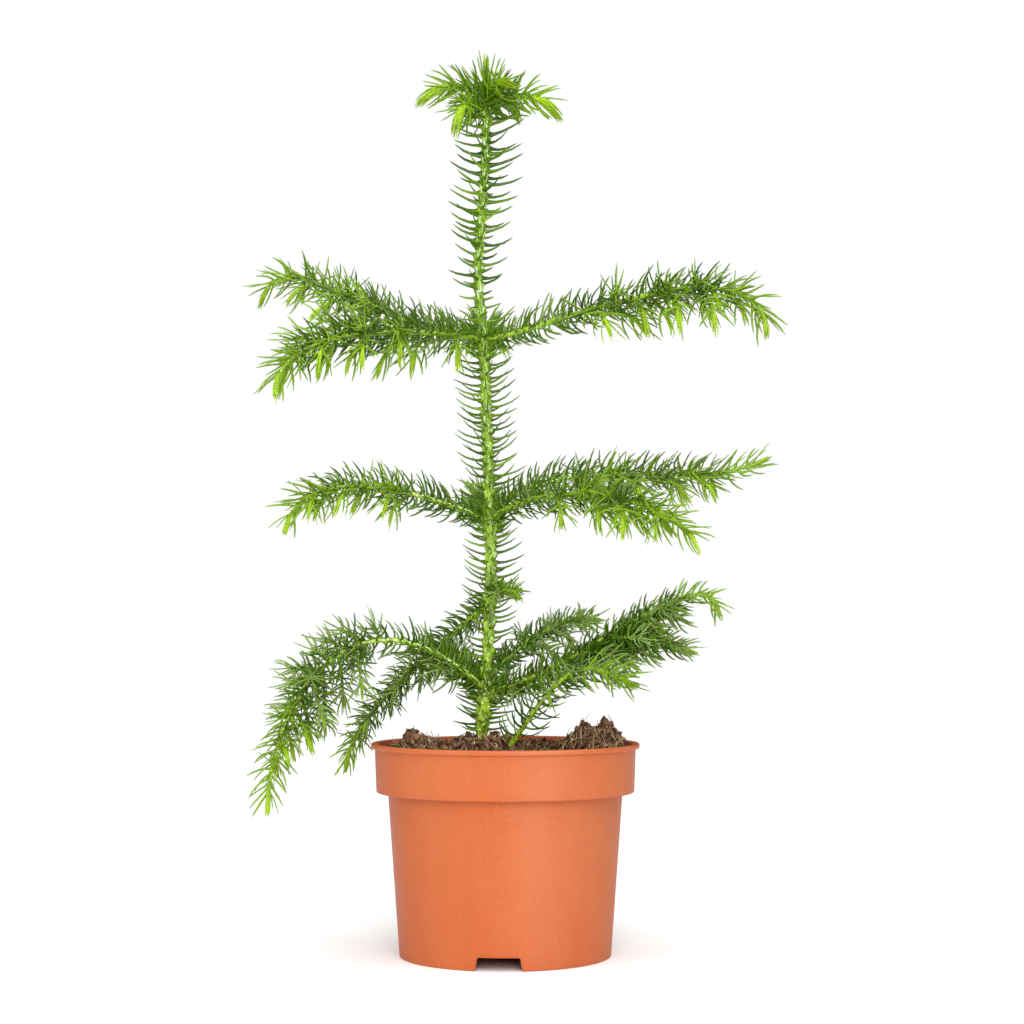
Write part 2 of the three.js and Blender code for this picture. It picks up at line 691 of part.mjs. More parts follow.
const tree = new THREE.Group();
tree.name = "tree";
tree.add(meshOf("trunk", trunk, FINISH.trunk));
boughs.forEach(({ owner, limb, fromSoil, masses, random }) => {
  const cutter = fromSoil ? groundBlock(basalSeat.z + GAP) : aroundTrunk;
  tree.add(meshOf(owner, fuse([needledStem(owner, limb, random).subtract(cutter)]), FINISH.bough));
  masses.forEach((mass) => tree.add(meshOf(mass.owner, massSolid(mass), FINISH.foliage)));
});
shoots.forEach((shoot) => tree.add(meshOf(shoot.owner, massSolid(shoot, aroundTrunk), FINISH.shoot)));

const pottedPine = new THREE.Group();
pottedPine.name = "potted_norfolk_island_pine";
pottedPine.add(planting, tree);

export default pottedPine;
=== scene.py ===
"""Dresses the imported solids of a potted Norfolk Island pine: pot, soil, trunk, boughs, needles and studio."""

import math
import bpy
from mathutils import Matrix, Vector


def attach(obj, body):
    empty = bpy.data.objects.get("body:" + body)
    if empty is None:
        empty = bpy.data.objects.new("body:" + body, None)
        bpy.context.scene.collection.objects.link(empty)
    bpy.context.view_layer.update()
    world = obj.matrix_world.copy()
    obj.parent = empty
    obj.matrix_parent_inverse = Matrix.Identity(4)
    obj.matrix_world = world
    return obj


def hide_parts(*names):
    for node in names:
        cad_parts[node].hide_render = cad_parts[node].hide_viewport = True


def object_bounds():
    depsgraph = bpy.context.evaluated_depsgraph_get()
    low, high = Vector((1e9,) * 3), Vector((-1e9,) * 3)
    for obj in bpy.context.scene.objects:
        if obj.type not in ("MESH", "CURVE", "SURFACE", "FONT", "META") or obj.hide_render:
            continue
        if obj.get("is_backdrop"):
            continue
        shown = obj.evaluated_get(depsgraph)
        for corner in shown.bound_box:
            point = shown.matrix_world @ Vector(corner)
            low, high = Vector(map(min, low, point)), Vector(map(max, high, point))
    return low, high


bl_info = {
    "name": "Potted Norfolk Island Pine",
    "version": (1, 0, 0),
    "blender": (4, 5, 0),
    "location": "3D View > Sidebar > Potted Pine",
    "description": "Builds the pot, soil, trunk, boughs, needles and studio of a potted Norfolk Island pine",
    "category": "Object",
}

from collections import namedtuple

import bmesh
import bpy
import numpy as np
from bpy.props import FloatProperty, FloatVectorProperty, IntProperty, PointerProperty
from bpy.types import Operator, Panel, PropertyGroup
from mathutils import Vector, noise

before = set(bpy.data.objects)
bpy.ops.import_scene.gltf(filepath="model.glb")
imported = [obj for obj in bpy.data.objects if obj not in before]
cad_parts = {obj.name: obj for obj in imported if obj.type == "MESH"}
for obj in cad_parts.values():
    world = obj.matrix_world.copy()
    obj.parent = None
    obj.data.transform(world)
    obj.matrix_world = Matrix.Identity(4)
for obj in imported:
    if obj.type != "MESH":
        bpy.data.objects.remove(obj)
CAD_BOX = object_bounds()

MM = 0.001
TURN = 2 * math.pi
GOLDEN_TURN = math.pi * (3 - math.sqrt(5))
UP = np.array((0.0, 0.0, 1.0))
BODY = "root"

# Seeds of the random runs, and their steps from one bough or shoot to the next
SOIL_SEED, TRUNK_SEED, FOLIAGE_SEED, TOP_SEED = 17, 53, 29, 71
BOUGH_SEED, BOUGH_SEED_STEP = 211, 37
SHOOT_SEED, SHOOT_SEED_STEP = 977, 41
TURN_SEED_STEP = 5000

# Trunk: height against sideways lean, height against radius, and where it is built from and to, in millimetres
TRUNK_LEAN = (
    (90, -11.4), (125, -8.5), (157, -6.9), (180, -6.5), (216, -7.6),
    (273, -9.8), (306, -12.2), (361, -9), (396, -8.8),
)
TRUNK_RADIUS = (
    (90, 2.3), (98, 2.35), (104, 2.7), (110, 2.6), (118, 2.25), (200, 2.05), (300, 1.75), (384, 1.5), (396, 1),
)
TRUNK_FOOT = 93
TRUNK_TOP = 393

# Needles along the trunk: from, to, spacing and length in millimetres, how far their tips lean from upright, and
# their girth. All lean alike at the root and start at a turn that follows the height.
TRUNK_NEEDLE_BANDS = (
    (99, 113, 0.55, 13.5, 64, 0.88), (110, 123, 0.5, 10, 50, 0.8), (113, 150, 0.95, 13.5, 56, 0.86),
    (150, 200, 0.85, 15, 50, 0.86), (186, 200, 0.45, 9.5, 40, 0.8), (200, 280, 0.8, 16.5, 46, 0.86),
    (267, 281, 0.32, 9.5, 36, 0.8), (282, 299, 1.25, 8, 70, 0.95), (299, 318, 1.15, 13, 60, 1.05),
    (318, 386, 1.05, 17.5, 58, 1.1),
)
TRUNK_NEEDLE_LEAN = 97
TRUNK_TURN_RATE = 0.7
TRUNK_SCATTER = 6
TRUNK_GIRTHS = (0.9, 1.1)

# Boughs: millimetres and degrees. The angles and pulls shape the course at its root and tip, masses begin at the
# given shares of it, and twigs are dealt out over them.
Bough = namedtuple(
    "Bough", "name height azimuth reach rise launch launch_pull end end_pull masses twigs twig_length"
)
BOUGHS = (
    Bough("upper_right", 275, -15, 128, -4, 9, 0.26, -96, 0.38, (0.3,), 8, 28),
    Bough("upper_left_front", 275, 213, 105, -33, 8, 0.25, -94, 0.33, (0.24,), 7, 28),
    Bough("upper_left_back", 278, 147, 130, 23, 4, 0.46, -76, 0.29, (0.28,), 7, 25),
    Bough("upper_back", 273, 90, 72, 6, 22, 0.4, -65, 0.3, (0.3,), 5, 18),
    Bough("middle_left", 194, 188, 92, -7, 22, 0.5, -82, 0.34, (0.3,), 6, 24),
    Bough("middle_right_front", 194, -40, 115, -17, 32, 0.32, -69, 0.23, (0.28,), 7, 26),
    Bough("middle_right_back", 198, 22, 143, 28, 35, 0.4, 24, 0.36, (0.26,), 8, 26),
    Bough("middle_back", 192, 97, 72, 4, 24, 0.4, -65, 0.3, (0.3,), 5, 17),
    Bough("lower_left_arch", 118, 193, 97, -49, 43, 0.77, -90, 0.36, (0.27, 0.54), 11, 35),
    Bough("lower_left_drop", 158, 160, 71, -77, -45, 0.25, -80, 0.3, (0.36,), 5, 22),
    Bough("lower_right", 116, -8, 105, 35, 13, 0.42, -81, 0.28, (0.26,), 9, 40),
    Bough("lower_right_back", 120, 42, 72, 29, 49, 0.31, -8, 0.3, (0.3,), 5, 22),
    Bough("lower_back", 114, 112, 74, 6, 44, 0.42, -70, 0.3, (0.3,), 5, 21),
    Bough("lower_front", 160, -64, 28, -1, 21, 0.36, -39, 0.25, (0.4,), 2, 14),
    Bough("basal_shoot", None, -35, 64, 29, 52, 0.69, -23, 0.42, (0.36,), 4, 17),
)

# Where the shoot from the soil stands and how deep it roots, in millimetres
BASAL_PLACE, BASAL_DEPTH = (2, -10), 3

# Tones that needles are dealt out in, from old wood to the growing tip, and how the trunk deals them. The pale
# tone is painted reflection: a paler colour that stands in for gloss on needles seen at a glancing angle.
TONES = ("deep", "leaf", "pale", "fresh", "lime")
DEEP, LEAF, SHEEN_PALE, FRESH, LIME = range(5)
TRUNK_TONES = (DEEP, LEAF, FRESH)
TRUNK_DEAL = (0.25, 0.6, 0.15)

# A spray's old needles: how often its tier's main tone leads, and the shares of leading, other and pale ones. The
# pale ones are painted reflection, a paler colour in place of gloss.
MAIN_LEADS = 0.75
OLD_DEAL = (0.53, 0.25, 0.22)

# Tiers of boughs: the tones of their old needles and of the closed tips, how unruly the needles are, the length of
# finer twigs against the others, the count and length of needles in a closed tip, how far short of it the wood
# ends, the girth of needles, and their size at the root of the limb
Tier = namedtuple("Tier", "name old stray tip scatter fine brush brush_length wood_back girth limb")
TIERS = (
    Tier("upper", LEAF, DEEP, LIME, 14, 1.0, 9, 13.5, 10, 1.0, 0.4),
    Tier("middle", LEAF, DEEP, LIME, 12, 0.9, 8, 12, 9, 0.98, 0.5),
    Tier("lower", DEEP, LEAF, FRESH, 12, 0.9, 4, 8, 4, 0.95, 0.9),
)

# Length of a bough's needles against its tier's, on its stem and on its twigs
NEEDLE_SCALE = {
    "lower_left_arch": (1.36, 0.98), "lower_left_drop": (1.1, 0.95), "lower_front": (0.66, 0.6),
    "basal_shoot": (1.4, 1.05),
}
COMMON_SCALE = (1, 0.9)

# Needles on a limb: size against the stem's, and how far apart they stand
LIMB_NEEDLES = {"basal_shoot": (1.25, 1.0)}
COMMON_LIMB = (1, 0.45)

# Share of the arch from which its tips are bright, like those of another tier
BRIGHT_END = {"lower_left_arch": 0.62}
BRIGHT_TIER = TIERS[1]

# Short twigs besides the others: share of the bough, side, length in millimetres, dip and spread, and how far the
# spread varies
SHORT_TWIGS = {
    "upper_right": ((0.33, -1, 20, 6, 82),),
    "upper_left_front": ((0.5, -1, 24, -40, 42), (0.66, -1, 20, -40, 36)),
    "lower_left_arch": (
        (0.08, -1, 15, 62, 70), (0.15, 1, 15, 62, 70), (0.22, -1, 15, 16, 64), (0.36, -1, 14, -64, 64),
        (0.42, 1, 17, -70, 64), (0.47, -1, 18, -64, 64), (0.52, 1, 18, -70, 64), (0.57, -1, 18, -64, 64),
        (0.62, 1, 15, -70, 64),
    ),
    "lower_right": ((0.07, -1, 16, 32, 50), (0.13, 1, 16, 32, 50), (0.2, -1, 16, 32, 50)),
    "lower_right_back": ((0.18, 1, 15, -14, 54),),
    "lower_back": ((0.12, -1, 15, -14, 54), (0.22, 1, 15, -14, 54)),
}
SHORT_JITTER = 8

# Long twigs besides the others, with a closed tip: share of the bough, side, length in millimetres, droop and
# spread, and how far the spread varies
LONG_TWIGS = {
    "upper_right": ((0.6, -1, 32, 0.95, 62), (0.69, -1, 30, 0.95, 62)),
    "upper_left_front": ((0.13, 1, 28, 0.95, 62), (0.2, -1, 26, 0.95, 62)),
    "middle_right_front": ((0.6, -1, 26, 0.95, 50),),
    "lower_left_arch": ((0.45, 1, 29, 1.0, 84), (0.5, -1, 30, 1.0, 84)),
    "lower_right": ((0.43, 1, 51, 0.33, 31), (0.5, -1, 52, 0.36, 31)),
}
LONG_JITTER = 5

# Reach of a bough that carries no side twigs
OPEN_REACH = {"lower_left_arch": (0.25, 0.4)}

# Young shoots of the top whorl, growing straight from the trunk
Shoot = namedtuple("Shoot", "name height azimuth reach rise launch launch_pull end end_pull")
TOP_SHOOTS = (
    Shoot("top_left", 386, 186, 30, -2, 40, 0.4, -50, 0.35),
    Shoot("top_right", 382, -8, 33, -5, 30, 0.45, -60, 0.35),
    Shoot("top_front_left", 382, 238, 25, -16, 15, 0.45, -80, 0.35),
    Shoot("top_front_right", 386, -62, 25, 1, 30, 0.4, -30, 0.35),
    Shoot("top_back_left", 382, 124, 27, -4, 35, 0.4, -60, 0.35),
    Shoot("top_back_right", 386, 56, 27, -4, 35, 0.4, -60, 0.35),
)

# Top shoots: how far short of the tip the wood ends in millimetres, its radii, and the spacing, lengths, scatter
# and girths of needles
SHOOT_TIP_BACK = 13
SHOOT_RADII = (1.0 * MM, 0.7 * MM)
SHOOT_SPACING = 0.54 * MM
SHOOT_NEEDLES = (17 * MM, 14 * MM)
SHOOT_SCATTER = 15
SHOOT_GIRTHS = (1.05, 1.3)

# The leader above the top whorl: from which share of the trunk, with its radii, spacing and girths of needles
LEADER_FROM = 0.955
LEADER_RADII = (1.7 * MM, 1.1 * MM)
LEADER_SPACING = 0.6 * MM
LEADER_GIRTHS = (1.0, 1.25)

# Closed brushes of the top: count, length, spread in degrees, how lime and fresh needles are dealt, and girths
Brush = namedtuple("Brush", "count length spread deal girths")
SHOOT_BRUSH = Brush(36, 19 * MM, 20, (0.8, 0.2), (0.7, 0.95))
LEADER_TUFT = Brush(18, 14.5 * MM, 8, (0.7, 0.3), (0.75, 1.0))

# How side twigs leave their stem, dip below its plane, droop and shorten, unless a bough has its own habit, and
# the least and most that any twig droops
TWIG_HABIT = {
    "first": 0.05, "last": 0.74, "spread": 48, "spread_jitter": 12, "dip": 12, "droop": 0.74,
    "droop_jitter": 0.18, "elbow": 0.55, "shortening": 0.35, "length_jitter": 0.15, "rise": 26,
}
OWN_HABITS = {
    "lower_left_arch": {"spread": 58, "dip": 42, "droop": 0.6, "shortening": 0.85, "rise": 90},
    "lower_right": {"spread": 31, "dip": 58, "droop": 0.24, "shortening": 0.6, "last": 0.66},
}
DROOP_RANGE = (0.05, 1)

# Finer twigs between them keep their bough's habit, but rise over the plane, spread wider and droop less. They
# stand a share of the way to the next twig, and shorten along the bough.
FINE_RISE = 26
FINE_SPREAD = 6
FINE_DROOP = 0.34
FINE_JITTER = {"spread_jitter": 20, "droop_jitter": 0.24}
FINE_OFFSET = 0.45
FINE_SHORTENING = 0.4

# Wood: radii of a bough from root to tip in millimetres, radii of a twig, and how far short of its tip a twig ends
BOUGH_RADII = (1.05, 0.55)
TWIG_RADII = (0.6 * MM, 0.42 * MM)
TWIG_TIP_BACK = 5 * MM

# Wood as it is built: sides, step along it, and the ridge below each needle (height, run, spread in radians)
Wood = namedtuple("Wood", "sides step ridge_height ridge_run ridge_spread")
TRUNK_WOOD = Wood(36, 0.4 * MM, 1.7 * MM, 8.5 * MM, 0.34)
BOUGH_WOOD = Wood(12, 0.6 * MM, 0.6 * MM, 5 * MM, 0.5)
TWIG_WOOD = Wood(6, 0.9 * MM, 0.2 * MM, 3 * MM, 0.55)
SHOOT_WOOD = Wood(8, 0.7 * MM, 0.25 * MM, 3 * MM, 0.5)

# How far a ridge reaches above its needle, how deep the trunk's bark lies between ridges, and how the trunk swells
# at its whorls, in millimetres
RIDGE_HEAD = 0.2
BARK_DEPTH = 0.4
WHORL_RISE, WHORL_SPREAD = 0.45, 3.2

# Room that twigs and needles keep from other wood, the trunk, the pot and the soil, and where it is tested
TWIG_ROOM, TRUNK_ROOM, POT_ROOM, SOIL_ROOM = 2.4 * MM, 2.6 * MM, 1.6 * MM, 0.8 * MM
TWIG_TESTS = np.linspace(0.25, 1, 10)
BOUGH_TESTS = np.linspace(0, 0.97, 70)
TRUNK_TESTS = np.linspace(0, 1, 160)
NEEDLE_TESTS = (0.35, 0.6, 0.8, 1)

# Soil in millimetres: level, mounds (x, y, rise, spread), ripple (rise, wave along x and its start, wave along y),
# how far out crumbs and strands lie, its body in the pot (radius, height) and gap to the wall, and the columns and
# rows of its top
SOIL_LEVEL = 89.5
SOIL_MOUNDS = ((-11, 0, 8.6, 19), (43, 4, 17.5, 15), (-41, 6, 9.5, 11), (2, -10, 2.4, 9))
SOIL_RIPPLE = (0.7, 0.23, 1, 0.19)
SOIL_REACH, STRAND_REACH = 54, 54.5
SOIL_BODY = ((38, 8.6), (44.5, 8.6), (45.3, 9.8), (50.2, 74.5))
SOIL_GAP = 0.3
SOIL_COLUMNS, SOIL_ROWS = 150, 46

# Clumps and gaps that break up the mounds (x, y, rise, spread along x, spread along y) in millimetres
SOIL_CLUMPS = (
    (34, 0, 0.8, 3, 6), (39.5, 3, -2.2, 1.8, 14), (45, 4, -3.4, 8, 12), (46, 2, 1.4, 2.4, 3),
    (-34, 4, 1.5, 3, 5), (-38.5, 6, -2, 1.8, 10), (-43, 5, -1, 3, 6), (-27, -2, -2.5, 4, 14),
)

# Crumbly surface of the soil in millimetres: the rise that makes a full mound, the grain and rise of lumps and
# clods, the bank at the back and the fall toward the rim
MOUND_RISE = 8
LUMP_GRAIN, LUMP_LAYER, LUMP_RISE, LUMP_MOUND_RISE = 0.2, 3.0, 1.8, 2.4
CLOD_GRAIN, CLOD_LAYER, CLOD_RISE = 0.11, 9.0, 3
BANK_RISE, BANK_FROM, BANK_RUN = 3, 12, 30
EDGE_FROM, EDGE_RUN, EDGE_LEVEL, EDGE_FALL = 46.5, 10, 93, 0.9

# How the mounds share what gathers on them, and how close to them it lies
GATHERING = (0.3, 0.5, 0.2)
GATHERING_SPREAD = 0.55

# Crumbs: share on the mounds, sizes in millimetres and their spread, how they are seated, lumpy and squashed
CRUMB_GATHERED = 0.55
CRUMB_SIZES, CRUMB_SPREAD = (0.3, 3), (-0.3, 0.5)
CRUMB_SEAT = 0.15
CRUMB_LUMPS, CRUMB_SQUASH = (0.5, 1.3), (0.5, 1.25)
CRUMB_CREASE = math.radians(35)

# Strands: lengths and girths in millimetres, share on the mounds, and share that stands with a free end. A free
# end rises from a point on the strand in a curve, and the strand then covers less ground. The side is a direction
# that no strand runs along.
Strands = namedtuple("Strands", "lengths girths gathered standing")
FIBRES = Strands((2.5, 10), (0.12, 0.32), 0.65, 0.3)
ROOTS = Strands((1.2, 4), (0.2, 0.5), 0.75, 0.5)
STRAND_BOW, STRAND_LIFT, STRAND_TAPER = 0.22, 0.3, 0.25
STRAND_SIDE = (0.31, 0.22, 0.92)
FREE_RISE, FREE_FROM, FREE_CURVE, FREE_COVER = (0.1, 0.8), 0.3, 1.3, 0.7

# Moss: spots, their spread, and lengths, girths, rise and arch of the blades, in millimetres
MOSS_SPOTS = np.array(((-22, -30), (-30, -12), (8, -34), (18, 10), (-14, 22), (-46, -8)))
MOSS_SPREAD = 5.5
MOSS_LENGTHS, MOSS_GIRTHS = (1.5, 5), (0.16, 0.34)
MOSS_RISE, MOSS_ARCH = (0.1, 0.7), 1.4

# Needle section along its length: share and girth. The base is broad where it runs down the wood. Then half its
# width and height, and the share of its length where it bends.
NEEDLE_PROFILE = ((0, 1.9), (0.08, 1.25), (0.25, 1.05), (0.5, 1), (0.76, 0.85), (0.92, 0.52))
TRUNK_NEEDLE_PROFILE = ((0, 3.2), (0.1, 2.4), (0.2, 1.65), (0.38, 1.25), (0.68, 1.0), (0.9, 0.58))
NEEDLE_FLANK = 0.33 * MM
NEEDLE_KEEL = 0.45 * MM
NEEDLE_ELBOW = 0.45

# Needles along a stem: how late they close toward its end, how soon their length settles, the spread of lengths
# and girths, how deep in the wood they root, their usual scatter in degrees, and their length along twigs and at
# the end of limbs
NEEDLE_CLOSING = 2.4
NEEDLE_SETTLING = 1.6
NEEDLE_LENGTHS = (0.84, 1.14)
NEEDLE_GIRTHS = (0.9, 1.15)
NEEDLE_SEAT = 0.55
NEEDLE_SCATTER = 11
TWIG_NEEDLES = (0.95, 1.05)
LIMB_END = 0.95

# Lean of needles from the wood at their root and tip, in degrees, for the start and for the end of a stem
STEM_LEANS = ((92, 34), (88, 34))
STEM_END_LEANS = ((92, 34), (46, 12))
TWIG_LEANS = ((86, 34), (44, 12))
SHOOT_LEANS = ((84, 40), (46, 18))
LEADER_LEANS = ((80, 40), (38, 14))

# How far needle tips turn up, and the length of the young end of a stem
STEM_LIFT, TWIG_LIFT, SHOOT_LIFT = 0.2, 0.12, 0.1
STEM_YOUNG, BRIGHT_YOUNG, TWIG_YOUNG, SHOOT_YOUNG = 18 * MM, 34 * MM, 7 * MM, 9 * MM
YOUNG_JITTER = (0.75, 1.25)

# Closed brush at a tip: the run of wood it stands on, its leans in degrees, how it closes, lengths, seat and girth
# of its needles, and how many more the end of a bough has
BRUSH_RUN = 3 * MM
BRUSH_SPREAD, BRUSH_LEAN, BRUSH_JITTER = 11, 2, 4
BRUSH_CLOSING = 0.4
BRUSH_LENGTHS, BRUSH_ROUNDING = (0.78, 1.1), 0.15
BRUSH_SEAT_AT, BRUSH_SEAT = 0.98, 0.4
BRUSH_GIRTH = 0.9
BRUSH_MORE = 4

# Pot: notches with drain holes above them, the height up to which a notch shapes the body, slope and easing of the
# notch's sides, columns in a notch and between two, the flange's depth, the drill for the holes, the angle from
# which edges are crisp, the steps of a rounding, and the gap that counts as touching
NOTCHES = 3
NOTCH_REACH = 8 * MM
NOTCH_SLOPE, NOTCH_EASE = 0.9 * MM, 0.5 * MM
NOTCH_COLUMNS, FOOT_COLUMNS = 9, 45
FLANGE_DEPTH = 2.4 * MM
DRILL_SIDES, DRILL_HEIGHTS = 24, (4 * MM, 12 * MM)
POT_CREASE = math.radians(50)
ROUNDING_STEPS = 4
TOUCHING = 1e-6

# Looks of materials: scales of patches and flecks, strength of flecks, roughness from ground to patch, fine relief
# (scale, strength, depth), specular level, and stretch of the pattern
Look = namedtuple("Look", "patches flecks fleck roughness relief specular stretch", defaults=((1.0, 1.0, 1.0),))
NEEDLE_LOOK = Look(55.0, 420.0, 0.5, (0.34, 0.48), (900.0, 0.12, 0.0001), 0.2)
BARK_LOOK = Look(480.0, 1300.0, 0.7, (0.18, 0.3), (800.0, 0.3, 0.0002), 0.42, (1.0, 1.0, 0.4))
OLD_BARK_LOOK = BARK_LOOK._replace(patches=300.0, fleck=0.8, stretch=(1.0, 1.0, 0.45))
PLASTIC_LOOK = Look(26.0, 1500.0, 0.5, (0.42, 0.5), (1200.0, 0.22, 0.0001), 0.13, (1.0, 1.0, 0.35))
PEAT_LOOK = Look(260.0, 1500.0, 0.9, (0.85, 1.0), (900.0, 0.9, 0.0008), 0.03)
CRUMB_LOOK = Look(420.0, 1500.0, 0.9, (0.85, 1.0), (1300.0, 0.8, 0.0005), 0.03)
STRAW_LOOK = Look(260.0, 900.0, 0.6, (0.6, 0.8), (1500.0, 0.3, 0.0002), 0.2)
ROOT_LOOK = STRAW_LOOK._replace(roughness=(0.7, 0.9), specular=0.05)
MOSS_LOOK = STRAW_LOOK._replace(patches=200.0, roughness=(0.7, 0.9))

# Shades of a colour that make a material's ground and patches
NEEDLE_SHADES = (0.8, 1.2)
BOUGH_SHADES = (0.42, 0.95)
TWIG_SHADES = (0.38, 0.8)
STRAW_SHADES = (1.2, 0.35)

# Colours and places of marks on the materials
MOSS_GREEN, MOSS_PALE = (0.09, 0.13, 0.03), (0.2, 0.22, 0.09)
SMUDGE_COLOUR, SMUDGE_PLACE, SMUDGE_REACH = (0.37, 0.13, 0.075, 1), (0.041, -0.028, 0.055), (0.006, 0.026)
DUST_COLOUR = (0.66, 0.29, 0.18, 1)
SCAR_COLOUR, SCAR_HEIGHTS, OLD_HEIGHTS = (0.2, 0.1, 0.035, 1), (0.1, 0.17), (0.1, 0.31)

# Studio in metres: lamps with their places and sizes, where they aim, the sun's tilt and spread, and the floor
LAMP_AIM = Vector((0, 0, 0.2))
KEY_PLACE, KEY_SIZE = (0.04, -1.38, 0.6), 0.7
FILL_PLACE, FILL_SIZE, FILL_SHARE = (-1.1, -0.7, 0.55), 0.9, 0.1
SHEEN_PLACE, SHEEN_WIDTH, SHEEN_HEIGHT = (0.9, -1.44, 0.75), 0.3, 1.5
SUN_TILT, SUN_SPREAD = (math.radians(14), math.radians(1), 0), math.radians(75)
GLOSS_SHARE = 0.35
FLOOR_HALF, FLOOR_ROUGHNESS = 6, 0.9
SENSOR_WIDTH = 36


def length_setting(name, description, default):
    return FloatProperty(name=name, description=description, default=default, unit="LENGTH")


def angle_setting(name, description, degrees):
    return FloatProperty(name=name, description=description, default=math.radians(degrees), subtype="ANGLE")


def count_setting(name, description, default):
    return IntProperty(name=name, description=description, default=default, min=0)


def colour_setting(name, description, *default):
    return FloatVectorProperty(
        name=name, description=description, default=default, size=3, subtype="COLOR", min=0, max=1
    )


class PotSettings(PropertyGroup):
    """Sizes and finish of the pot"""

    height: length_setting("Height", "Height of the rim", 0.0942)
    flange_radius: length_setting("Flange Radius", "Outside radius of the rim's flange", 0.06)
    band_top_radius: length_setting("Band Top Radius", "Radius of the band under the flange", 0.0583)
    band_foot_radius: length_setting("Band Foot Radius", "Radius of the band's lower edge", 0.0576)
    band_foot: length_setting("Band Foot", "Height of the band's lower edge", 0.0724)
    body_top_radius: length_setting("Body Top Radius", "Radius of the body under the band", 0.0524)
    body_foot_radius: length_setting("Body Foot Radius", "Radius of the body at the ground", 0.0471)
    wall: length_setting("Wall", "Thickness of the wall", 0.0014)
    floor_raise: length_setting("Floor Raise", "Height of the floor above the ground", 0.0066)
    notch_width: length_setting("Notch Width", "Width of each foot notch", 0.0204)
    notch_height: length_setting("Notch Height", "Height of each foot notch", 0.0058)
    notch_azimuth: angle_setting("Notch Bearing", "Bearing of the first notch", -93.4)
    drain_radius: length_setting("Drain Radius", "Radius of each drain hole", 0.004)
    drain_ring: length_setting("Drain Ring", "Distance of the drain holes from the axis", 0.036)
    colour: colour_setting("Plastic", "Main colour of the plastic", 0.457, 0.102, 0.028)
    faded: colour_setting("Faded", "Colour where the plastic is scuffed and pale", 0.482, 0.127, 0.042)


class SoilSettings(PropertyGroup):
    """Amounts and colours of the potting soil"""

    crumbs: count_setting("Crumbs", "Number of loose crumbs", 2600)
    fibres: count_setting("Fibres", "Number of dry straw fibres", 1000)
    roots: count_setting("Roots", "Number of short dark root ends", 1100)
    moss: count_setting("Moss", "Number of moss blades", 150)
    peat: colour_setting("Peat", "Colour of moist peat", 0.018, 0.0075, 0.0035)
    crumb: colour_setting("Crumb", "Colour of drier crumbs", 0.19, 0.1, 0.055)
    straw: colour_setting("Straw", "Colour of dry fibres", 0.62, 0.4, 0.22)


class TreeSettings(PropertyGroup):
    """Needle sizes and colours of the tree"""

    upper_needle: length_setting("Upper Needles", "Usual length of a needle on the upper boughs", 0.0146)
    middle_needle: length_setting("Middle Needles", "Usual length of a needle on the middle boughs", 0.0132)
    lower_needle: length_setting("Lower Needles", "Usual length of a needle on the lower boughs", 0.0096)
    needle_spacing: FloatProperty(
        name="Needle Spacing", description="Spacing of needles along a stem, as a share of their length",
        default=0.062, subtype="FACTOR",
    )
    deep: colour_setting("Deep", "Oldest needles", 0.048, 0.115, 0.002)
    leaf: colour_setting("Leaf", "Grown needles", 0.09, 0.19, 0.003)
    # Pale needles are painted reflection: their paler colour stands in for gloss seen at a glancing angle, not for
    # dull needles.
    pale: colour_setting("Pale", "Dull needles among the grown ones", 0.18, 0.28, 0.055)
    fresh: colour_setting("Fresh", "Young needles", 0.18, 0.325, 0.01)
    lime: colour_setting("Lime", "Needles of the growing tips", 0.3, 0.47, 0.012)
    bark: colour_setting("Bark", "Green bark", 0.065, 0.165, 0.004)
    old_bark: colour_setting("Old Bark", "Yellow-green bark near the foot", 0.36, 0.57, 0.03)


class StageSettings(PropertyGroup):
    """Camera, floor and lights"""

    lens: FloatProperty(
        name="Lens", description="Focal length in millimetres", default=75, subtype="DISTANCE_CAMERA"
    )
    camera: FloatVectorProperty(
        name="Camera", description="Place of the camera", default=(0.00299, -0.9593, 0.1493), size=3,
        subtype="TRANSLATION",
    )
    pitch: angle_setting("Pitch", "How far the camera looks up", 2.878)
    floor: colour_setting("Floor", "Colour of the floor", 0.95, 0.95, 0.95)
    daylight: FloatProperty(name="Daylight", description="Strength of the light from all round", default=0.4)
    key: FloatProperty(name="Key", description="Power of the front light", default=15, unit="POWER")
    sheen: FloatProperty(
        name="Sheen", description="Power of the strip that only shows in gloss", default=75, unit="POWER"
    )
    overhead: FloatProperty(name="Overhead", description="Strength of the light from above", default=2.35)


class PottedPineSettings(PropertyGroup):
    """All settings of the potted pine"""

    pot: PointerProperty(type=PotSettings)
    soil: PointerProperty(type=SoilSettings)
    tree: PointerProperty(type=TreeSettings)
    stage: PointerProperty(type=StageSettings)


# Geometry


def unit(vectors):
    return vectors / np.linalg.norm(vectors, axis=-1, keepdims=True)


def lerp(start, end, share):
    return start + (end - start) * share


def curve(start, bend, end, t):
    """Points on a curve from start to end that leaves and arrives toward bend."""
    return (1 - t) ** 2 * start + 2 * t * (1 - t) * bend + t**2 * end


def even_turns(count):
    return np.arange(count) * TURN / count


def circle(radius, turns, height=0.0):
    return np.stack([radius * np.cos(turns), radius * np.sin(turns), 0 * turns + height], axis=-1)


class SeededRun:
    """A repeatable run of values from 0 to 1."""

    factor, step, period = 1664525, 1013904223, 2**32

    def __init__(self, seed):
        self.state = seed

    def __call__(self):
        self.state = (self.state * self.factor + self.step) % self.period
        return self.state / self.period

    def swing(self, size):
        return size * (2 * self() - 1)


def ring_walls(count, sides):
    """Numbers of the corners in a stack of rings, of each one's neighbour, and of the walls between rings."""
    corner = np.arange(count * sides).reshape(count, sides)
    beside = np.roll(corner, -1, axis=1)
    walls = np.stack([corner[:-1], beside[:-1], beside[1:], corner[1:]], axis=-1).reshape(-1, 4)
    return corner, beside, walls


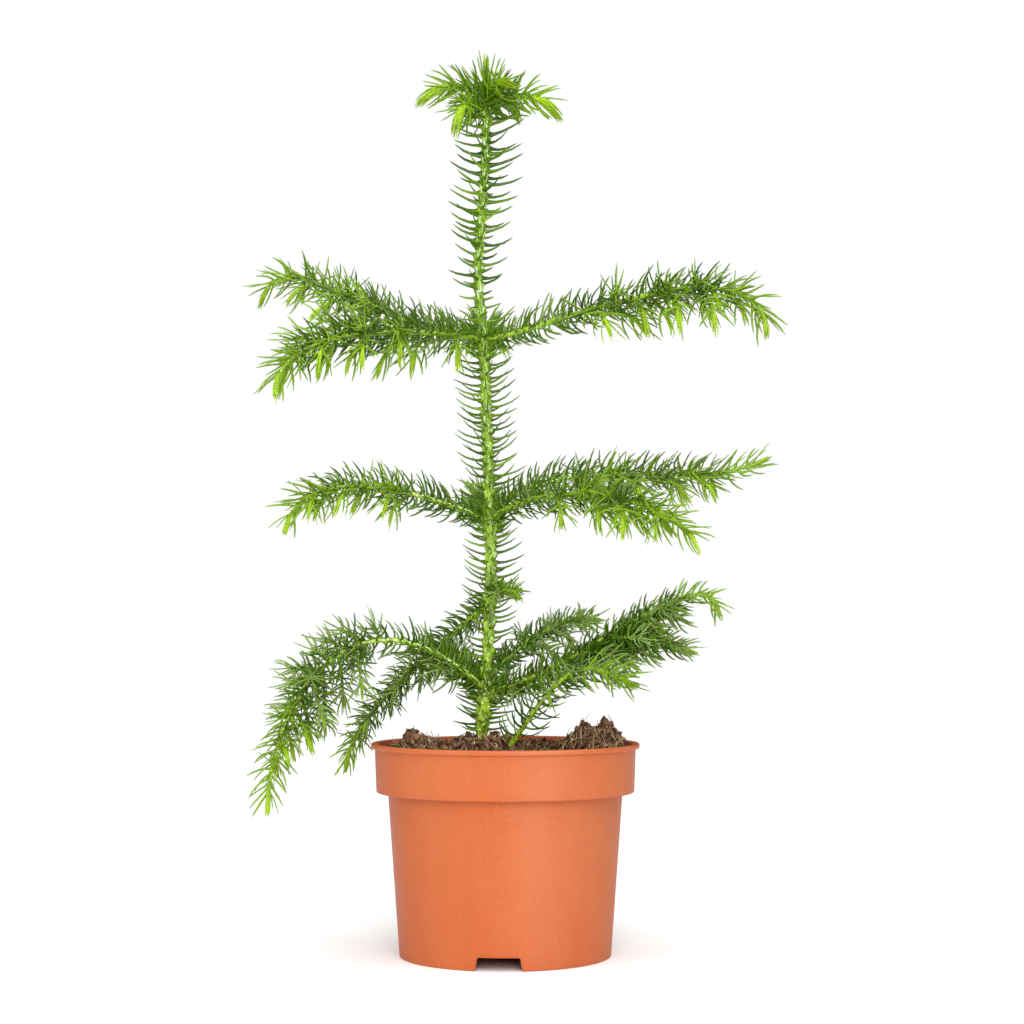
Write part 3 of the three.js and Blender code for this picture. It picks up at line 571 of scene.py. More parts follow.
class Shape:
    """Points and faces of many small closed forms, gathered for one mesh."""

    def __init__(self):
        self.points = []
        self.faces = []
        self.count = 0

    def add(self, points, *blocks):
        """Adds points with blocks of faces that count from the first of them."""
        points = np.asarray(points, float).reshape(-1, 3)
        self.points.append(points)
        for block in blocks:
            self.faces.extend((np.asarray(block) + self.count).tolist())
        self.count += len(points)

    def add_tube(self, rings):
        """A closed tube through rings of points, capped by a fan at each end."""
        count, sides = rings.shape[:2]
        corner, beside, walls = ring_walls(count, sides)
        first, last = count * sides, count * sides + 1
        foot = np.stack([beside[0], corner[0], np.full(sides, first)], axis=-1)
        tip = np.stack([corner[-1], beside[-1], np.full(sides, last)], axis=-1)
        ends = [rings[0].mean(axis=0), rings[-1].mean(axis=0)]
        self.add(np.concatenate([rings.reshape(-1, 3), ends]), walls, foot, tip)

    def object(self, name, material, sharp=None):
        """Makes one object of all that was gathered."""
        mesh = bpy.data.meshes.new(name)
        mesh.from_pydata(np.concatenate(self.points), [], self.faces)
        mesh.materials.append(material)
        return place_mesh(name, mesh, sharp)


def place_object(name, data):
    """Links a new object that shows the data."""
    item = bpy.data.objects.new(name, data)
    bpy.context.scene.collection.objects.link(item)
    return item


def place_mesh(name, mesh, sharp=None):
    """Links a mesh as a smooth-shaded object, with edges over the sharp angle kept crisp."""
    mesh.shade_smooth()
    if sharp is not None:
        mesh.set_sharp_from_angle(angle=sharp)
    return place_object(name, mesh)


def finish_piece(piece, nodes=()):
    """Sets a piece on the part's body, in place of the solids it stands for."""
    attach(piece, BODY)
    if nodes:
        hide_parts(*nodes)


class Route:
    """A Bezier course, read by share of its length."""

    divisions = 200

    def __init__(self, corners, side):
        self.corners = [np.asarray(corner, float) for corner in corners]
        self.side = np.asarray(side, float)
        self.steps = np.linspace(0, 1, self.divisions + 1)
        stops = self.trace(self.steps)[0]
        runs = np.linalg.norm(np.diff(stops, axis=0), axis=1)
        self.marks = np.concatenate([[0], np.cumsum(runs)])
        self.length = self.marks[-1]

    def trace(self, steps):
        """Points and headings at steps from 0 to 1 of the curve's own measure."""
        steps = steps[:, None]
        layer = [np.broadcast_to(corner, (len(steps), 3)) for corner in self.corners]
        while len(layer) > 2:
            layer = [a + (b - a) * steps for a, b in zip(layer, layer[1:])]
        first, last = layer
        return first + (last - first) * steps, unit(last - first)

    def at(self, shares):
        """Points and headings at shares of the length."""
        shares = np.atleast_1d(shares)
        return self.trace(np.interp(shares * self.length, self.marks, self.steps))


class TrunkLine:
    """Centre line of the trunk, read by share of its height."""

    side = np.array((0.0, 1.0, 0.0))
    length = (TRUNK_TOP - TRUNK_FOOT) * MM
    nudge = 0.5

    def at(self, shares):
        """Points and headings at shares of the height."""
        heights = lerp(TRUNK_FOOT, TRUNK_TOP, np.atleast_1d(shares))
        ahead, behind = trunk_points(heights + self.nudge), trunk_points(heights - self.nudge)
        return trunk_points(heights), unit(ahead - behind)


def smooth_values(stations, heights):
    """Values at heights on a smooth line through (height, value) stations."""
    z, v = np.array(stations, float).T
    last = len(z) - 1
    before = np.maximum(np.arange(last + 1) - 1, 0)
    after = np.minimum(np.arange(last + 1) + 1, last)
    slope = (v[after] - v[before]) / (z[after] - z[before])
    i = np.clip(np.searchsorted(z, heights) - 1, 0, last - 1)
    span = z[i + 1] - z[i]
    t = (heights - z[i]) / span
    held = (2 * t**3 - 3 * t**2 + 1) * v[i] + (3 * t**2 - 2 * t**3) * v[i + 1]
    return held + span * ((t**3 - 2 * t**2 + t) * slope[i] + (t**3 - t**2) * slope[i + 1])


def trunk_points(heights):
    heights = np.asarray(heights, float)
    return np.stack([smooth_values(TRUNK_LEAN, heights), 0 * heights, heights], axis=-1) * MM


def soil_height(x, y):
    """Height of the soil's surface, in millimetres, at a place in millimetres."""
    ripple, wave_x, start, wave_y = SOIL_RIPPLE
    height = SOIL_LEVEL + ripple * np.sin(wave_x * x + start) * np.cos(wave_y * y)
    for mound_x, mound_y, rise, spread in SOIL_MOUNDS:
        height = height + rise * np.exp(-((x - mound_x) ** 2 + (y - mound_y) ** 2) / spread**2)
    return height


def above_ground(points, pot):
    """Which points are clear of the soil and the pot."""
    x, y, z = np.moveaxis(points, -1, 0)
    ground = np.maximum(pot.height, soil_height(x / MM, y / MM) * MM)
    return (np.hypot(x, y) > pot.flange_radius + POT_ROOM) | (z > ground + SOIL_ROOM)


# The tree's rule of growth


class Stem:
    """A run of wood along a route, with needles set round it at the golden angle."""

    def __init__(self, route, start, end, radii, spacing, first_turn):
        self.route = route
        self.start = start
        self.end = end
        self.radii = radii
        self.run = route.length * (end - start)
        count = max(4, round(self.run / spacing))
        self.along = (np.arange(count) + 0.5) / count
        self.turns = first_turn + GOLDEN_TURN * np.arange(count)

    def at(self, along):
        return self.route.at(lerp(self.start, self.end, along))

    def radius(self, along):
        return lerp(*self.radii, along)

    def away(self, headings, turns):
        """Directions square to the wood at turns round it."""
        across = np.cross(headings, self.route.side)
        return self.route.side * np.cos(turns)[..., None] + across * np.sin(turns)[..., None]


def bough_route(plan, root):
    """Course of a bough in its own upright plane, from a root to the tip."""
    bearing = math.radians(plan.azimuth)
    out = np.array((math.cos(bearing), math.sin(bearing), 0.0))
    span = math.hypot(plan.reach, plan.rise) * MM

    def heading(degrees):
        return out * math.cos(math.radians(degrees)) + UP * math.sin(math.radians(degrees))

    tip = root + (out * plan.reach + UP * plan.rise) * MM
    after_root = root + heading(plan.launch) * plan.launch_pull * span
    before_tip = tip - heading(plan.end) * plan.end_pull * span
    return Route((root, after_root, before_tip, tip), (-out[1], out[0], 0))


def twig_route(route, share, hand, length, habit, random):
    """A side twig leaves the stem sideways and forward, then hangs."""
    (root,), (along,) = route.at(share)
    spread = math.radians(habit["spread"] + random.swing(habit["spread_jitter"]))
    dip = math.radians(habit["dip"])
    across = np.cross(along, route.side)
    sideward = route.side * hand * math.cos(dip) - across * math.sin(dip)
    leave = along * math.cos(spread) + sideward * math.sin(spread)
    least, most = DROOP_RANGE
    droop = min(max(habit["droop"] + random.swing(habit["droop_jitter"]), least), most)
    turn = unit(leave * (1 - droop) - UP * droop)
    reach = length * (1 + random.swing(habit["length_jitter"]))
    bend = root + leave * reach * habit["elbow"]
    tip = bend + turn * reach * (1 - habit["elbow"])
    return Route((root, bend, tip), unit(np.cross(leave, turn)))


def twig_routes(route, start, end, count, length, habit, random):
    """Side twigs dealt left and right over a stem."""
    for i in range(count):
        along = i / (count - 1) if count > 1 else 0.5
        share = lerp(start, end, lerp(habit["first"], habit["last"], along))
        hand = 1 if i % 2 else -1
        reach = length * (1 - habit["shortening"] * along)
        yield share, hand, twig_route(route, share, hand, reach, habit, random)


class Branch:
    """A bough with its limb, the stems of its masses and their twigs."""

    def __init__(self, plan, seed, tree):
        self.plan = plan
        self.name = plan.name
        self.tier = next((tier for tier in TIERS if plan.name.startswith(tier.name)), TIERS[-1])
        needle = getattr(tree, f"{self.tier.name}_needle")
        self.needle, self.twig_needle = (needle * scale for scale in NEEDLE_SCALE.get(plan.name, COMMON_SCALE))
        spacing = tree.needle_spacing * self.needle
        self.twig_spacing = tree.needle_spacing * self.twig_needle
        random = SeededRun(seed)
        self.turns = SeededRun(seed + TURN_SEED_STEP)
        self.habit = habit = {**TWIG_HABIT, **OWN_HABITS.get(plan.name, {})}
        self.fine_habit = {
            **habit, **FINE_JITTER, "spread": habit["spread"] + FINE_SPREAD, "droop": habit["droop"] * FINE_DROOP,
        }
        if plan.height is None:
            x, y = BASAL_PLACE
            root = np.array((x, y, soil_height(x, y) - BASAL_DEPTH)) * MM
        else:
            root = trunk_points(plan.height)
        self.route = bough_route(plan, root)
        stem_end = 1 - self.tier.wood_back * MM / self.route.length
        edges = (*plan.masses, stem_end)
        self.limb_scale, apart = LIMB_NEEDLES.get(plan.name, COMMON_LIMB)
        self.limb = self.stem(0, plan.masses[0], apart * spacing)
        self.stems = [self.stem(a, b, spacing) for a, b in zip(edges, edges[1:])]
        self.courses = []
        self.fine_courses = []
        for start, end in zip(edges, edges[1:]):
            self.deal_twigs(start, end, stem_end, random)
        self.add_own_twigs()

    def stem(self, start, end, spacing):
        radii = [lerp(*BOUGH_RADII, share) * MM for share in (start, end)]
        return Stem(self.route, start, end, radii, spacing, TURN * self.turns())

    def deal_twigs(self, start, end, stem_end, random):
        """Deals side twigs over a mass, each with a finer one on the other side a little further on."""
        plan, habit = self.plan, self.habit
        first, run = plan.masses[0], stem_end - plan.masses[0]
        count = math.floor(plan.twigs * (end - start) / run + 0.5)
        open_from, open_to = OPEN_REACH.get(plan.name, (1, 1))
        for share, hand, course in twig_routes(
            self.route, start, end, count, plan.twig_length * MM, habit, random
        ):
            if open_from < share < open_to:
                continue
            self.courses.append((share, course))
            between = share + FINE_OFFSET * (end - start) / count
            dip = habit["dip"] - lerp(FINE_RISE, habit["rise"], (between - first) / run)
            length = self.tier.fine * course.length * (1 - FINE_SHORTENING * share)
            fine = {**self.fine_habit, "dip": dip}
            self.fine_courses.append((between, twig_route(self.route, between, -hand, length, fine, self.turns)))

    def add_own_twigs(self):
        """Adds the short and long twigs that only this bough has."""
        for twigs, habit, bent, jitter, courses in (
            (SHORT_TWIGS, self.fine_habit, "dip", SHORT_JITTER, self.fine_courses),
            (LONG_TWIGS, self.habit, "droop", LONG_JITTER, self.courses),
        ):
            for share, hand, length, bend, spread in twigs.get(self.name, ()):
                own = {**habit, bent: bend, "spread": spread, "spread_jitter": jitter}
                courses.append((share, twig_route(self.route, share, hand, length * MM, own, self.turns)))

    def grow_twigs(self, others, pot):
        """Keeps the twigs that stay clear of other boughs, the trunk and the ground."""
        self.twigs, self.fine_twigs = (
            [(share, self.twig_stem(course)) for share, course in courses if has_room(course, others, pot)]
            for courses in (self.courses, self.fine_courses)
        )

    def twig_stem(self, course):
        end = 1 - TWIG_TIP_BACK / course.length
        return Stem(course, 0, end, TWIG_RADII, self.twig_spacing, TURN * self.turns())


def has_room(course, others, pot):
    """Whether a twig keeps clear of other wood, the pot and the soil."""
    points = course.at(TWIG_TESTS)[0]
    gaps = np.linalg.norm(points[:, None] - others[None], axis=-1)
    return gaps.min() > TWIG_ROOM and above_ground(points, pot).all()


def grow_branches(settings):
    """Every tier with its boughs, their wood in place."""
    branches = [
        Branch(plan, BOUGH_SEED + BOUGH_SEED_STEP * i, settings.tree) for i, plan in enumerate(BOUGHS)
    ]
    wood = [branch.route.at(BOUGH_TESTS)[0] for branch in branches]
    trunk = TrunkLine().at(TRUNK_TESTS)[0]
    for i, branch in enumerate(branches):
        others = np.concatenate([trunk, *wood[:i], *wood[i + 1:]])
        branch.grow_twigs(others, settings.pot)
    return [(tier, [branch for branch in branches if branch.tier is tier]) for tier in TIERS]


def ridge_relief(stem, along, turns, wood):
    """Height of the ridges that run down the wood below each needle."""
    relief = np.zeros((len(along), len(turns)))
    below = (stem.along[:, None] - along[None]) * stem.run
    run, head = wood.ridge_run, RIDGE_HEAD * wood.ridge_run
    fade = np.clip(np.where(below >= 0, 1 - below / run, 1 + below / head), 0, 1) ** 2
    for turn, share in zip(stem.turns, fade):
        rows = np.flatnonzero(share)
        apart = np.abs((turns - turn + math.pi) % TURN - math.pi)
        bump = np.outer(share[rows], np.exp(-((apart / wood.ridge_spread) ** 2)))
        relief[rows] = np.maximum(relief[rows], bump)
    return wood.ridge_height * relief


def add_wood(shape, stem, wood, swelling=None):
    """Adds a stem's wood as a tube with a ridge under each needle."""
    along = np.linspace(0, 1, max(4, round(stem.run / wood.step)))
    turns = even_turns(wood.sides)
    points, headings = stem.at(along)
    girth = stem.radius(along)[:, None] + ridge_relief(stem, along, turns, wood)
    if swelling is not None:
        girth = girth + swelling(points)[:, None]
    away = stem.away(headings[:, None], np.broadcast_to(turns, girth.shape))
    shape.add_tube(points[:, None] + away * girth[..., None])


class NeedleBed:
    """Needles gathered by tone until they are joined."""

    def __init__(self):
        self.rows = {tone: [] for tone in TONES}

    def add(self, tones, root, leave, bend, length, girth):
        for i, tone in enumerate(TONES):
            kept = tones == i
            if kept.any():
                self.rows[tone].append([part[kept] for part in (root, leave, bend, length, girth)])

    def join(self, tree, profile, piece_label, finish_label, slot, nodes):
        """Makes one piece of all needles of each tone."""
        for tone, rows in self.rows.items():
            if rows:
                shape = Shape()
                add_needles(shape, profile, *[np.concatenate(column) for column in zip(*rows)])
                material = needle_finish(f"{finish_label}_{tone}", getattr(tree, tone))
                finish_piece(shape.object(f"{piece_label}_{tone}", material), nodes)


def needle_corners(root, leave, bend, length):
    """Elbows and tips of needles."""
    size = length[:, None]
    elbow = root + leave * size * NEEDLE_ELBOW
    return elbow, elbow + bend * size * (1 - NEEDLE_ELBOW)


def add_needles(shape, profile, root, leave, bend, length, girth):
    """Adds curved four-edged needles that leave their roots one way and bend another way toward the tip."""
    elbow, tip = needle_corners(root, leave, bend, length)
    shares, swell = np.array(profile).T
    t = shares[None, :, None]
    place = curve(root[:, None], elbow[:, None], tip[:, None], t)
    heading = unit((1 - t) * (elbow - root)[:, None] + t * (tip - elbow)[:, None])
    flank = unit(np.cross(leave, bend))[:, None]
    keel = np.cross(heading, flank)
    wide = girth[:, None, None] * swell[None, :, None]
    across, over = flank * wide * NEEDLE_FLANK, keel * wide * NEEDLE_KEEL
    rings = np.stack([place + across, place + over, place - across, place - over], axis=2)
    count, steps, sides = rings.shape[:3]
    points = np.concatenate([rings.reshape(count, -1, 3), tip[:, None]], axis=1)
    corner, beside, walls = ring_walls(steps, sides)
    ends = np.stack([corner[-1], beside[-1], np.full(sides, steps * sides)], axis=-1)
    first = (np.arange(count) * (steps * sides + 1))[:, None, None]
    blocks = [(block[None] + first).reshape(-1, block.shape[1]) for block in (walls, ends, corner[:1, ::-1])]
    shape.add(points, *blocks)


def leaning(along, away, angle):
    angle = np.asarray(angle)[..., None]
    return along * np.cos(angle) + away * np.sin(angle)


def needles_along(stem, random, angles, lengths, lift=0.0, scatter=NEEDLE_SCATTER):
    """Roots, directions and lengths of the needles along a stem.

    angles holds the lean at the needle's root and tip, in degrees, for the stem's start and for its end.
    """
    points, headings = stem.at(stem.along)
    count = len(stem.along)
    away = stem.away(headings, stem.turns + np.radians(random.normal(0, scatter, count)))
    close = stem.along**NEEDLE_CLOSING
    root_lean, tip_lean = (
        np.radians(lerp(start, end, close) + random.normal(0, scatter, count)) for start, end in zip(*angles)
    )
    leave = leaning(headings, away, root_lean)
    bend = unit(leaning(headings, away, tip_lean) + UP * lift)
    settled = np.clip(stem.along * NEEDLE_SETTLING, 0, 1)
    length = lerp(*lengths, settled) * random.uniform(*NEEDLE_LENGTHS, count)
    root = points + away * stem.radius(stem.along)[:, None] * NEEDLE_SEAT
    return root, leave, bend, length


def brush_at_tip(stem, random, count, length, spread):
    """The closed brush of young needles at the end of a stem, which swells and then runs to a point."""
    along = 1 - random.uniform(0, BRUSH_RUN, count) / stem.run
    points, headings = stem.at(along)
    away = stem.away(headings, GOLDEN_TURN * np.arange(count))
    ring = np.sqrt((np.arange(count) + 0.5) / count)
    leave = leaning(headings, away, np.radians(spread * ring + BRUSH_LEAN))
    last = stem.route.at(1)[1]
    closing = random.uniform(-BRUSH_JITTER, BRUSH_JITTER, count) - BRUSH_CLOSING * spread * ring
    bend = unit(leaning(last, away, np.radians(closing)))
    size = length * random.uniform(*BRUSH_LENGTHS, count) * (1 - BRUSH_ROUNDING * ring)
    return points + away * stem.radius(BRUSH_SEAT_AT) * BRUSH_SEAT, leave, bend, size


def young_end(stem, tip_length, young, random):
    """Tones of a stem's needles that lift the last of them to a young tone."""
    left = (1 - stem.along) * stem.run / tip_length
    return np.where(left * random.uniform(*YOUNG_JITTER, len(left)) < 1, young, DEEP)


def clear_needles(root, leave, bend, length, pot):
    """Which needles stay out of the soil, the pot and the trunk."""
    elbow, tip = needle_corners(root, leave, bend, length)
    clear = np.ones(len(root), bool)
    for t in NEEDLE_TESTS:
        point = curve(root, elbow, tip, t)
        centre = trunk_points(np.clip(point[:, 2] / MM, TRUNK_FOOT, TRUNK_TOP))
        clear &= above_ground(point, pot)
        clear &= np.linalg.norm(point - centre, axis=1) > TRUNK_ROOM
    return clear


# Materials


def add_node(tree, kind, inputs, **settings):
    """A shader node with its settings, each input set to a value or linked to an output."""
    node = tree.nodes.new(f"ShaderNode{kind}")
    for label, setting in settings.items():
        setattr(node, label, setting)
    for label, value in inputs.items():
        if isinstance(value, bpy.types.NodeSocket):
            tree.links.new(value, node.inputs[label])
        else:
            node.inputs[label].default_value = value
    return node


def add_noise(tree, vector, scale, detail=4.0, roughness=0.55):
    inputs = {"Vector": vector, "Scale": scale, "Detail": detail, "Roughness": roughness}
    return add_node(tree, "TexNoise", inputs).outputs[0]


def add_range(tree, value, low, high, to_low=0.0, to_high=1.0):
    inputs = {"Value": value, "From Min": low, "From Max": high, "To Min": to_low, "To Max": to_high}
    return add_node(tree, "MapRange", inputs).outputs["Result"]


def add_mix(tree, factor, first, second):
    return add_node(tree, "Mix", {0: factor, 6: first, 7: second}, data_type="RGBA").outputs[2]


def add_math(tree, operation, first, second, clamp=False):
    return add_node(tree, "Math", {0: first, 1: second}, operation=operation, use_clamp=clamp).outputs[0]


def object_place(tree):
    return add_node(tree, "TexCoord", {}).outputs["Object"]


def socket_kind(value):
    if isinstance(value, (int, float)):
        return "NodeSocketFloat"
    return "NodeSocketColor" if len(value) == 4 else "NodeSocketVector"


def node_group(name, inputs, outputs):
    """An empty shader node group with named sockets, and its two end nodes."""
    group = bpy.data.node_groups.new(name, "ShaderNodeTree")
    for label, value in inputs.items():
        socket = group.interface.new_socket(label, in_out="INPUT", socket_type=socket_kind(value))
        socket.default_value = value
    for label, kind in outputs.items():
        group.interface.new_socket(label, in_out="OUTPUT", socket_type=kind)
    return group, group.nodes.new("NodeGroupInput"), group.nodes.new("NodeGroupOutput")


def mottle_group():
    """Two colours that drift into each other in patches, with fine flecks."""
    if "Mottle" in bpy.data.node_groups:
        return bpy.data.node_groups["Mottle"]
    inputs = {
        "Ground": (0.5, 0.5, 0.5, 1), "Patch": (0.4, 0.4, 0.4, 1), "Scale": 80.0, "Fleck Scale": 900.0,
        "Fleck": 0.2, "Stretch": (1.0, 1.0, 1.0),
    }
    group, start, end = node_group("Mottle", inputs, {"Colour": "NodeSocketColor", "Mask": "NodeSocketFloat"})
    given = start.outputs
    stretched = {0: object_place(group), 1: given["Stretch"]}
    place = add_node(group, "VectorMath", stretched, operation="MULTIPLY").outputs[0]
    broad = add_range(group, add_noise(group, place, given["Scale"]), low=0.36, high=0.64)
    grain = add_noise(group, place, given["Fleck Scale"], detail=2.0)
    fine = add_range(group, grain, low=0.3, high=0.7, to_low=-0.5, to_high=0.5)
    drift = add_math(group, "MULTIPLY", fine, given["Fleck"])
    mask = add_math(group, "ADD", broad, drift, clamp=True)
    group.links.new(add_mix(group, mask, given["Ground"], given["Patch"]), end.inputs["Colour"])
    group.links.new(mask, end.inputs["Mask"])
    return group


def relief_group():
    """Fine unevenness of a surface, as a normal."""
    if "Fine Relief" in bpy.data.node_groups:
        return bpy.data.node_groups["Fine Relief"]
    inputs = {"Scale": 600.0, "Strength": 0.3, "Depth": 0.0002}
    group, start, end = node_group("Fine Relief", inputs, {"Normal": "NodeSocketVector"})
    given = start.outputs
    height = add_noise(group, object_place(group), given["Scale"], detail=5.0)
    uneven = {"Height": height, "Strength": given["Strength"], "Distance": given["Depth"]}
    group.links.new(add_node(group, "Bump", uneven).outputs[0], end.inputs["Normal"])
    return group


def opaque(colour):
    return (*colour, 1.0)


def shaded(colour, factor):
    return tuple(min(1.0, part * factor) for part in colour)


def shades(colour, factors):
    return [shaded(colour, factor) for factor in factors]


def add_mottle(tree, ground, patch, look):
    """Outputs of a mottle with two colours and a look's values."""
    inputs = {
        "Ground": opaque(ground), "Patch": opaque(patch), "Scale": look.patches, "Fleck Scale": look.flecks,
        "Fleck": look.fleck, "Stretch": look.stretch,
    }
    return add_node(tree, "Group", inputs, node_tree=mottle_group()).outputs


def finish(name, ground, patch, look):
    """A material with a mottled colour, a roughness that follows it and a fine relief."""
    material = bpy.data.materials.new(name)
    material.use_nodes = True
    tree = material.node_tree
    shader = tree.nodes["Principled BSDF"].inputs
    shader["Specular IOR Level"].default_value = look.specular
    mottle = add_mottle(tree, ground, patch, look)
    tree.links.new(mottle["Colour"], shader["Base Color"])
    tree.links.new(add_range(tree, mottle["Mask"], 0.0, 1.0, *look.roughness), shader["Roughness"])
    uneven = dict(zip(("Scale", "Strength", "Depth"), look.relief))
    relief = add_node(tree, "Group", uneven, node_tree=relief_group())
    tree.links.new(relief.outputs["Normal"], shader["Normal"])
    return material


def recolour(material, change):
    """Passes the material's colour through a function of its node tree and colour output."""
    tree = material.node_tree
    shader = tree.nodes["Principled BSDF"]
    colour = shader.inputs["Base Color"].links[0].from_socket
    tree.links.new(change(tree, colour), shader.inputs["Base Color"])


def needle_finish(name, colour):
    """The finish of a tone of needles, made once."""
    if name in bpy.data.materials:
        return bpy.data.materials[name]
    return finish(name, *shades(colour, NEEDLE_SHADES), NEEDLE_LOOK)


# Operators


class POTTED_PINE_OT_pot(Operator):
    """Build the plastic pot with its flange, band, foot notches and drain holes"""

    bl_idname = "potted_pine.pot"
    bl_label = "Pot"

    def execute(self, context):
        pot = context.scene.potted_pine.pot
        shape = Shape()
        rows = pot_rows(pot)
        angles, lifts = pot_columns(pot)
        rings = np.array([
            [(r * math.cos(a), r * math.sin(a), z) for a, (r, z) in zip(angles, row)]
            for row in [[lifted(pot, corner, lift) for lift in lifts] for corner in rows]
        ])
        shape.add_tube(rings)
        piece = shape.object("pot_shell", plastic_finish(pot), POT_CREASE)
        turn_outward(piece.data)
        drill_floor(piece, pot)
        finish_piece(piece, ["pot"])
        return {"FINISHED"}


def rounded(corners):
    """A profile whose corners (radius, height, rounding in millimetres) are eased by a short curve."""
    points = []
    places = [np.array(corner[:2]) for corner in corners]
    for i, (radius, height, easing) in enumerate(corners):
        if easing == 0:
            points.append((radius, height))
            continue
        here = places[i]
        start = here + unit(places[i - 1] - here) * (easing * MM)
        end = here + unit(places[i + 1] - here) * (easing * MM)
        points += [tuple(curve(start, here, end, t)) for t in np.linspace(0, 1, ROUNDING_STEPS + 1)]
    return points


def body_radius(pot, height):
    return lerp(pot.body_foot_radius, pot.body_top_radius, height / pot.band_foot)


def pot_rows(pot):
    """Profile of the pot from the middle of its underside, round the outside, to the middle of its floor."""
    ring = pot.body_foot_radius - pot.wall - 0.6 * MM
    flange_foot = pot.height - FLANGE_DEPTH
    inside = pot.band_foot + pot.wall
    floor_top = pot.floor_raise + pot.wall
    middle, margin = 2 * MM, 3 * MM
    return rounded((
        (middle, pot.floor_raise, 0),
        (ring - margin, pot.floor_raise, 0),
        (ring, pot.floor_raise, 0.6),
        (ring, 0, 0.3),
        (pot.body_foot_radius, 0, 0.7),
        (body_radius(pot, NOTCH_REACH), NOTCH_REACH, 0),
        (body_radius(pot, pot.band_foot - margin), pot.band_foot - margin, 0),
        (pot.body_top_radius, pot.band_foot, 0.7),
        (pot.band_foot_radius, pot.band_foot, 0.8),
        (pot.band_foot_radius + 0.1 * MM, pot.band_foot + margin, 0),
        (pot.band_top_radius, flange_foot, 0.5),
        (pot.flange_radius, flange_foot, 0.8),
        (pot.flange_radius, pot.height, 0.9),
        (pot.band_top_radius - pot.wall, pot.height - 0.3 * MM, 0.6),
        (pot.band_foot_radius - pot.wall, inside + 0.6 * MM, 0.6),
        (pot.body_top_radius - pot.wall, inside, 0.8),
        (body_radius(pot, floor_top) - pot.wall, floor_top, 0.9),
        (middle, floor_top, 0),
    ))


def pot_columns(pot):
    """Bearings round the pot and how far its foot is lifted there, with columns set close at the notch's sides."""
    half = math.asin(pot.notch_width / 2 / pot.body_foot_radius)
    slope = NOTCH_SLOPE / pot.body_foot_radius
    ease = NOTCH_EASE / pot.body_foot_radius
    side = (
        (half + ease, 0.0), (half, 0.06), (half - 0.85 * slope, 0.86),
        (half - slope - 0.4 * ease, 0.97), (half - slope - 1.4 * ease, 1.0),
    )
    inner = np.linspace(-side[-1][0], side[-1][0], NOTCH_COLUMNS)[1:-1]
    outer = np.linspace(half + ease, TURN / NOTCHES - half - ease, FOOT_COLUMNS)[1:-1]
    columns = []
    for i in range(NOTCHES):
        centre = pot.notch_azimuth + TURN * i / NOTCHES
        columns += [(centre - angle, lift) for angle, lift in side]
        columns += [(centre + angle, 1.0) for angle in inner]
        columns += [(centre + angle, lift) for angle, lift in reversed(side)]
        columns += [(centre + angle, 0.0) for angle in outer]
    angles, lifts = zip(*columns)
    return angles, [lift * pot.notch_height for lift in lifts]


def lifted(pot, corner, lift):
    """A corner of the profile where the foot is cut away up to a lift."""
    radius, height = corner
    outside = radius > pot.body_foot_radius - pot.wall and height < NOTCH_REACH - TOUCHING
    inside = not outside and height < pot.floor_raise - TOUCHING
    if not (outside or inside):
        return corner
    top = NOTCH_REACH if outside else pot.floor_raise
    raised = lift + height * (top - lift) / top
    if outside:
        radius += body_radius(pot, raised) - body_radius(pot, height)
    return radius, raised


def turn_outward(mesh):
    """Turns every face of a closed mesh outward."""
    made = bmesh.new()
    made.from_mesh(mesh)
    bmesh.ops.recalc_face_normals(made, faces=made.faces)
    made.to_mesh(mesh)
    made.free()


def drill_floor(piece, pot):
    """Cuts the drain holes out of the pot's floor."""
    shape = Shape()
    for i in range(NOTCHES):
        bearing = pot.notch_azimuth + TURN * i / NOTCHES
        centre = np.array((pot.drain_ring * math.cos(bearing), pot.drain_ring * math.sin(bearing), 0))
        ring = circle(pot.drain_radius, even_turns(DRILL_SIDES)) + centre
        shape.add_tube(np.stack([ring + UP * height for height in DRILL_HEIGHTS]))
    drill = shape.object("drill", piece.data.materials[0])
    cut = piece.modifiers.new("Drain Holes", "BOOLEAN")
    cut.object = drill
    cut.solver = "EXACT"
    with bpy.context.temp_override(object=piece, active_object=piece):
        bpy.ops.object.modifier_apply(modifier=cut.name)
    bpy.data.objects.remove(drill)
    piece.data.set_sharp_from_angle(angle=POT_CREASE)


def plastic_finish(pot):
    material = finish("terracotta_plastic", pot.colour, pot.faded, PLASTIC_LOOK)

    def scuff(tree, colour):
        """Dull smudges on the right of the body, and pale dust all over."""
        place = object_place(tree)
        away = add_node(tree, "VectorMath", {0: place, 1: SMUDGE_PLACE}, operation="DISTANCE").outputs["Value"]
        near = add_range(tree, away, *SMUDGE_REACH, to_low=1.0, to_high=0.0)
        streaks = add_noise(tree, place, scale=190.0, detail=5.0, roughness=0.65)
        smear = add_range(tree, streaks, low=0.48, high=0.64, to_high=0.4)
        worn = add_mix(tree, add_math(tree, "MULTIPLY", near, smear), colour, SMUDGE_COLOUR)
        specks = add_noise(tree, place, scale=1300.0, detail=3.0)
        dust = add_range(tree, specks, low=0.56, high=0.74, to_high=0.24)
        return add_mix(tree, dust, worn, DUST_COLOUR)

    recolour(material, scuff)
    return material


